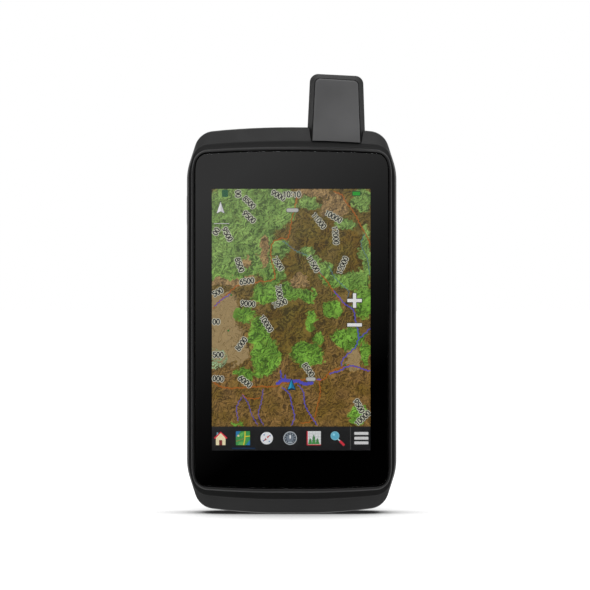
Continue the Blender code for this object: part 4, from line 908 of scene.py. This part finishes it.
def grips(rubber):
    """Strips with raised pads, drawn along the side and rounded at their front and back edges."""
    outer = BODY.half - PAD_PROUD
    first = (GRIP_LOW + GRIP_HIGH) / 2 - PAD_PITCH * (PAD_COUNT - 1) / 2
    foot = PAD_LENGTH / 2 + 0.25
    rise = [(share, 0.5 - 0.5 * math.cos(math.pi * share)) for share in (k / 6 for k in range(7))]
    profile = [(outer - GRIP_THICK, GRIP_LOW), (outer - 0.2, GRIP_LOW), (outer, GRIP_LOW + 0.2)]
    for k in range(PAD_COUNT):
        middle = first + PAD_PITCH * k
        profile += [(outer + PAD_PROUD * lift, middle - foot + 0.5 * share) for share, lift in rise]
        profile += [(outer + PAD_PROUD * lift, middle + foot - 0.5 * share) for share, lift in rise[::-1]]
    profile += [(outer, GRIP_HIGH - 0.2), (outer - 0.2, GRIP_HIGH), (outer - GRIP_THICK, GRIP_HIGH)]
    edges = ((0, 0.25), (0.08, 0.08), (0.25, 0))  # in from the front or back, and how far the face drops there
    rows = [(GRIP_FRONT_Y + y, back) for y, back in edges]
    rows += [(GRIP_BACK_Y - y, back) for y, back in edges[::-1]]
    for side, name, node in ((-1, "grip_left", "left_grip"), (1, "grip_right", "right_grip")):
        rings = [[Vector((side * max(x - back, outer - GRIP_THICK), y, z)) for x, z in profile]
                 for y, back in rows]
        piece(name, loft(rings), rubber, "case", "grip_rubber", node)


def power_button(plastic):
    def outline(grow, radius):
        middle, half = (BUTTON_BACK_Y + BUTTON_FRONT_Y) / 2, (BUTTON_BACK_Y - BUTTON_FRONT_Y) / 2
        return plate_outline(half + grow, BUTTON_LOW - grow, BUTTON_HIGH + grow, radius, CORNER_CHORDS, middle)

    x_face, x_wall = -BODY.half - BUTTON_PROUD, -CAVITY.half + GAP
    key, skirt = outline(0, BUTTON_CORNER), outline(BUTTON_SKIRT, BUTTON_CORNER)
    rings = [(outline(-1.4, BUTTON_CORNER - 1.2), x_face)]
    rings += [(outline(-by, BUTTON_CORNER - by), x_face + depth) for by, depth in bow(0, 0.45, 0.5, 0)[::-1]]
    rings += [(key, x_face + 0.45), (key, x_wall), (skirt, x_wall), (skirt, BUTTON_BACK_X)]
    piece("power_key", loft([[Vector((x, u, v)) for u, v in ring] for ring, x in rings]), plastic,
          "power_button", "button_plastic", "power_button")


# ---- studio
CAMERA_FAR = 1.6
VIEW_WIDTH = 0.2469  # of the object's plane, across the frame
CAMERA_X, CAMERA_Z = 0.00138, 0.0909
LAMPS = (("top_light", (0.1, -0.9, 1.1), 0.6, 2.2), ("left_light", (-1.0, 0.7, 0.3), 0.5, 0.3),
         ("right_light", (1.1, 0.4, 0.2), 0.4, 0.5))  # name, place, size, power
# The pane that the cover glass mirrors: its glow at heights in mm up the glass.
PANE_SLOPE, PANE_TOP = 0.654, 140
PANE = ((10, 0.0), (25, 0.031), (47, 0.073), (68, 0.143), (89, 0.24), (110, 0.34), (130, 0.43))


def studio():
    scene = bpy.context.scene
    scene.view_settings.view_transform = "Standard"
    camera = bpy.data.objects.new("camera", bpy.data.cameras.new("camera"))
    scene.collection.objects.link(camera)
    camera.data.sensor_width = 36.0
    camera.data.lens = 36.0 * CAMERA_FAR / VIEW_WIDTH
    camera.data.clip_start, camera.data.clip_end = 0.05, 50
    camera.location = (CAMERA_X, -CAMERA_FAR, CAMERA_Z)
    camera.rotation_euler = (math.pi / 2, 0, 0)
    scene.camera = camera
    soft_light()
    for name, place, size, power in LAMPS:
        lamp = bpy.data.objects.new(name, bpy.data.lights.new(name, "AREA"))
        lamp.data.size = size
        lamp.data.energy = power
        lamp.location = place
        lamp.rotation_euler = (Vector((0, 0, 0.08)) - Vector(place)).to_track_quat("-Z", "Y").to_euler()
        scene.collection.objects.link(lamp)
    floor()


def soft_light():
    """The studio's walls: white behind, light from above and beside, a dark front with one graded pane."""
    world = bpy.data.worlds.new("studio")
    bpy.context.scene.world = world
    world.use_nodes = True
    make = node_maker(world.node_tree)
    toward = make("TexCoord", out="Generated")
    x, y, z = make("SeparateXYZ", [toward]).node.outputs
    above = eased(make, z, 0.2, 0.85, to_low=0.08)
    above = calc(make, "SUBTRACT", above, remap(make, z, 0.88, 1.0, 0.0, 0.5))
    below = eased(make, z, -0.35, -0.95)
    right = vector(make, "DOT_PRODUCT", toward, (0.8, 0.6, 0.0))
    left = vector(make, "DOT_PRODUCT", toward, (-0.8, 0.6, 0.0))
    beside = plus(make, eased(make, right, 0.85, 1.0, 0.4), eased(make, left, 0.85, 1.0, 0.3))
    room = plus(make, plus(make, above, below), beside)
    room = plus(make, room, eased(make, y, 0.1, 0.8, 0.55))
    # level: how far up the pane a mirrored ray meets it, in mm of the glass, running up and to the left
    ahead = calc(make, "MAXIMUM", times(make, y, -1.0), 0.01)
    across, up = calc(make, "DIVIDE", x, ahead), calc(make, "DIVIDE", z, ahead)
    start = (CAMERA_Z - PANE_SLOPE * (CAMERA_X + GLASS.half * MM)) / MM
    tilted = calc(make, "MULTIPLY_ADD", across, -PANE_SLOPE, up)
    level = calc(make, "MULTIPLY_ADD", tilted, CAMERA_FAR / MM, start)
    pane = make("ValToRGB", [calc(make, "DIVIDE", level, PANE_TOP)])
    steps = pane.node.color_ramp.elements
    while len(steps) < len(PANE):
        steps.new(0.5)
    for step, (height, glow) in zip(steps, PANE):
        step.position = height / PANE_TOP
        step.color = (glow, glow, glow, 1)
    off_axis = vector(make, "LENGTH", make("CombineXYZ", [across, up]))
    edge = eased(make, off_axis, 0.09, 0.16)
    share = calc(make, "MAXIMUM", edge, remap(make, y, -0.05, 0.05))
    shone = blend(make, share, pane, room)
    seen = make("LightPath", out="Is Camera Ray")
    make.link(blend(make, seen, shone, (1, 1, 1)), make.nodes["Background"].inputs["Color"])


def floor():
    """White paper that no surface mirrors. It glows white, and a painted shadow dims the glow where the object
    hides it from the room.
    """
    shape = bmesh.new()
    bmesh.ops.create_grid(shape, x_segments=2, y_segments=2, size=20000)
    paper = mesh_object("floor", shape)
    material, shader, make = new_material("floor_paper")
    fibres = noise(make, make("TexCoord", out="Object"), 300.0)
    # painted shadow: ambient occlusion near the object lowers the paper's glow
    open_sky_for_painted_shadow = make("AmbientOcclusion", {"Distance": 0.16}, "AO", samples=12)
    feed(make, shader, {
        "Emission Color": (1, 1, 1, 1), "Emission Strength": remap(make, open_sky_for_painted_shadow, 0.3, 0.9, 0.02, 1.25),
        "Base Color": remap(make, fibres, 0.3, 0.7, 0.0, 0.02), "Roughness": 0.9, "Specular IOR Level": 0.0})
    coat(paper, material)
    paper.visible_diffuse = paper.visible_glossy = paper.visible_transmission = False


def dress(material, *names):
    for name in names:
        coat(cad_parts[name], material)


def inside():
    """Surfaces of the fittings and of what the housings hide."""
    screw_names = [f"housing_screw_{k}" for k in range(1, 7)] + ["mount_screw_1", "mount_screw_2"]
    dress(brushed("black_oxide", (0.035, 0.035, 0.038), 0.4, (12, 1, 12)), *screw_names)
    dress(brushed("mesh_steel", (0.16, 0.16, 0.17), 0.42, (6, 1, 1)), "speaker_mesh")
    dress(brushed("connector_steel", (0.45, 0.45, 0.46), 0.3, (1, 8, 1)), "usb_socket", "antenna_jack")
    dress(brushed("shield_metal", (0.7, 0.7, 0.71), 0.35, (1, 1, 8)), "rf_shield", "memory_card_holder")
    dress(brushed("frame_metal", (0.6, 0.6, 0.62), 0.45, (2, 1, 2)), "mid_frame")
    dress(brushed("back_sheet", (0.75, 0.75, 0.76), 0.4, (8, 1, 1)), "display_backlight")
    contacts = [f"contact_pad_{k}" for k in range(1, 5)] + ["battery_contacts"]
    dress(brushed("contact_gold", (0.85, 0.62, 0.26), 0.25, (1, 1, 6)), *contacts)
    dress(moulded("mount_plastic", (0.045, 0.045, 0.048), 0.5, grain=0.4), "mount_plate")
    dress(moulded("contact_plastic", (0.02, 0.02, 0.021), 0.45), "contact_block", "power_switch", "speaker")
    dress(moulded("seal_rubber", (0.16, 0.16, 0.17), 0.6, specular=0.3), "door_gasket", "housing_gasket")
    dress(moulded("battery_case", (0.045, 0.045, 0.05), 0.4, mottle=0.05), "battery_pack")
    dress(moulded("board_green", (0.02, 0.11, 0.045), 0.35, mottle=0.25), "main_board")
    dress(moulded("flex_amber", (0.42, 0.19, 0.05), 0.3, mottle=0.05), "display_flex")
    dress(moulded("antenna_former", (0.68, 0.64, 0.56), 0.6), "antenna_element")


def main():
    plastic = moulded("case_plastic", (0.0145, 0.0145, 0.0148), 0.5)
    rubber = moulded("grip_rubber", (0.028, 0.028, 0.028), 0.7, specular=0.3)
    panel = moulded("antenna_panel", (0.2, 0.2, 0.203), 0.55)
    ink = black_gloss("mask_ink")
    metal = brushed("satin_steel", (0.5, 0.5, 0.52))
    front_skin(plastic)
    cover(clear_glass("cover_glass"))
    screen(ink)
    # The stub is the case's own plastic. Its darker colour here is painted shade, which keeps its sides and top
    # as dark as the case.
    antenna(moulded("stub_plastic_painted_darker", (0.0088, 0.0088, 0.009), 0.55, specular=0.25), panel)
    grips(rubber)
    power_button(plastic)
    rear_skin(plastic)
    dress(plastic, "battery_door")
    dress(rubber, "usb_cap", "antenna_jack_cap")
    dress(metal, "d_ring", "door_latch", "latch_cam")
    inside()
    studio()


main()
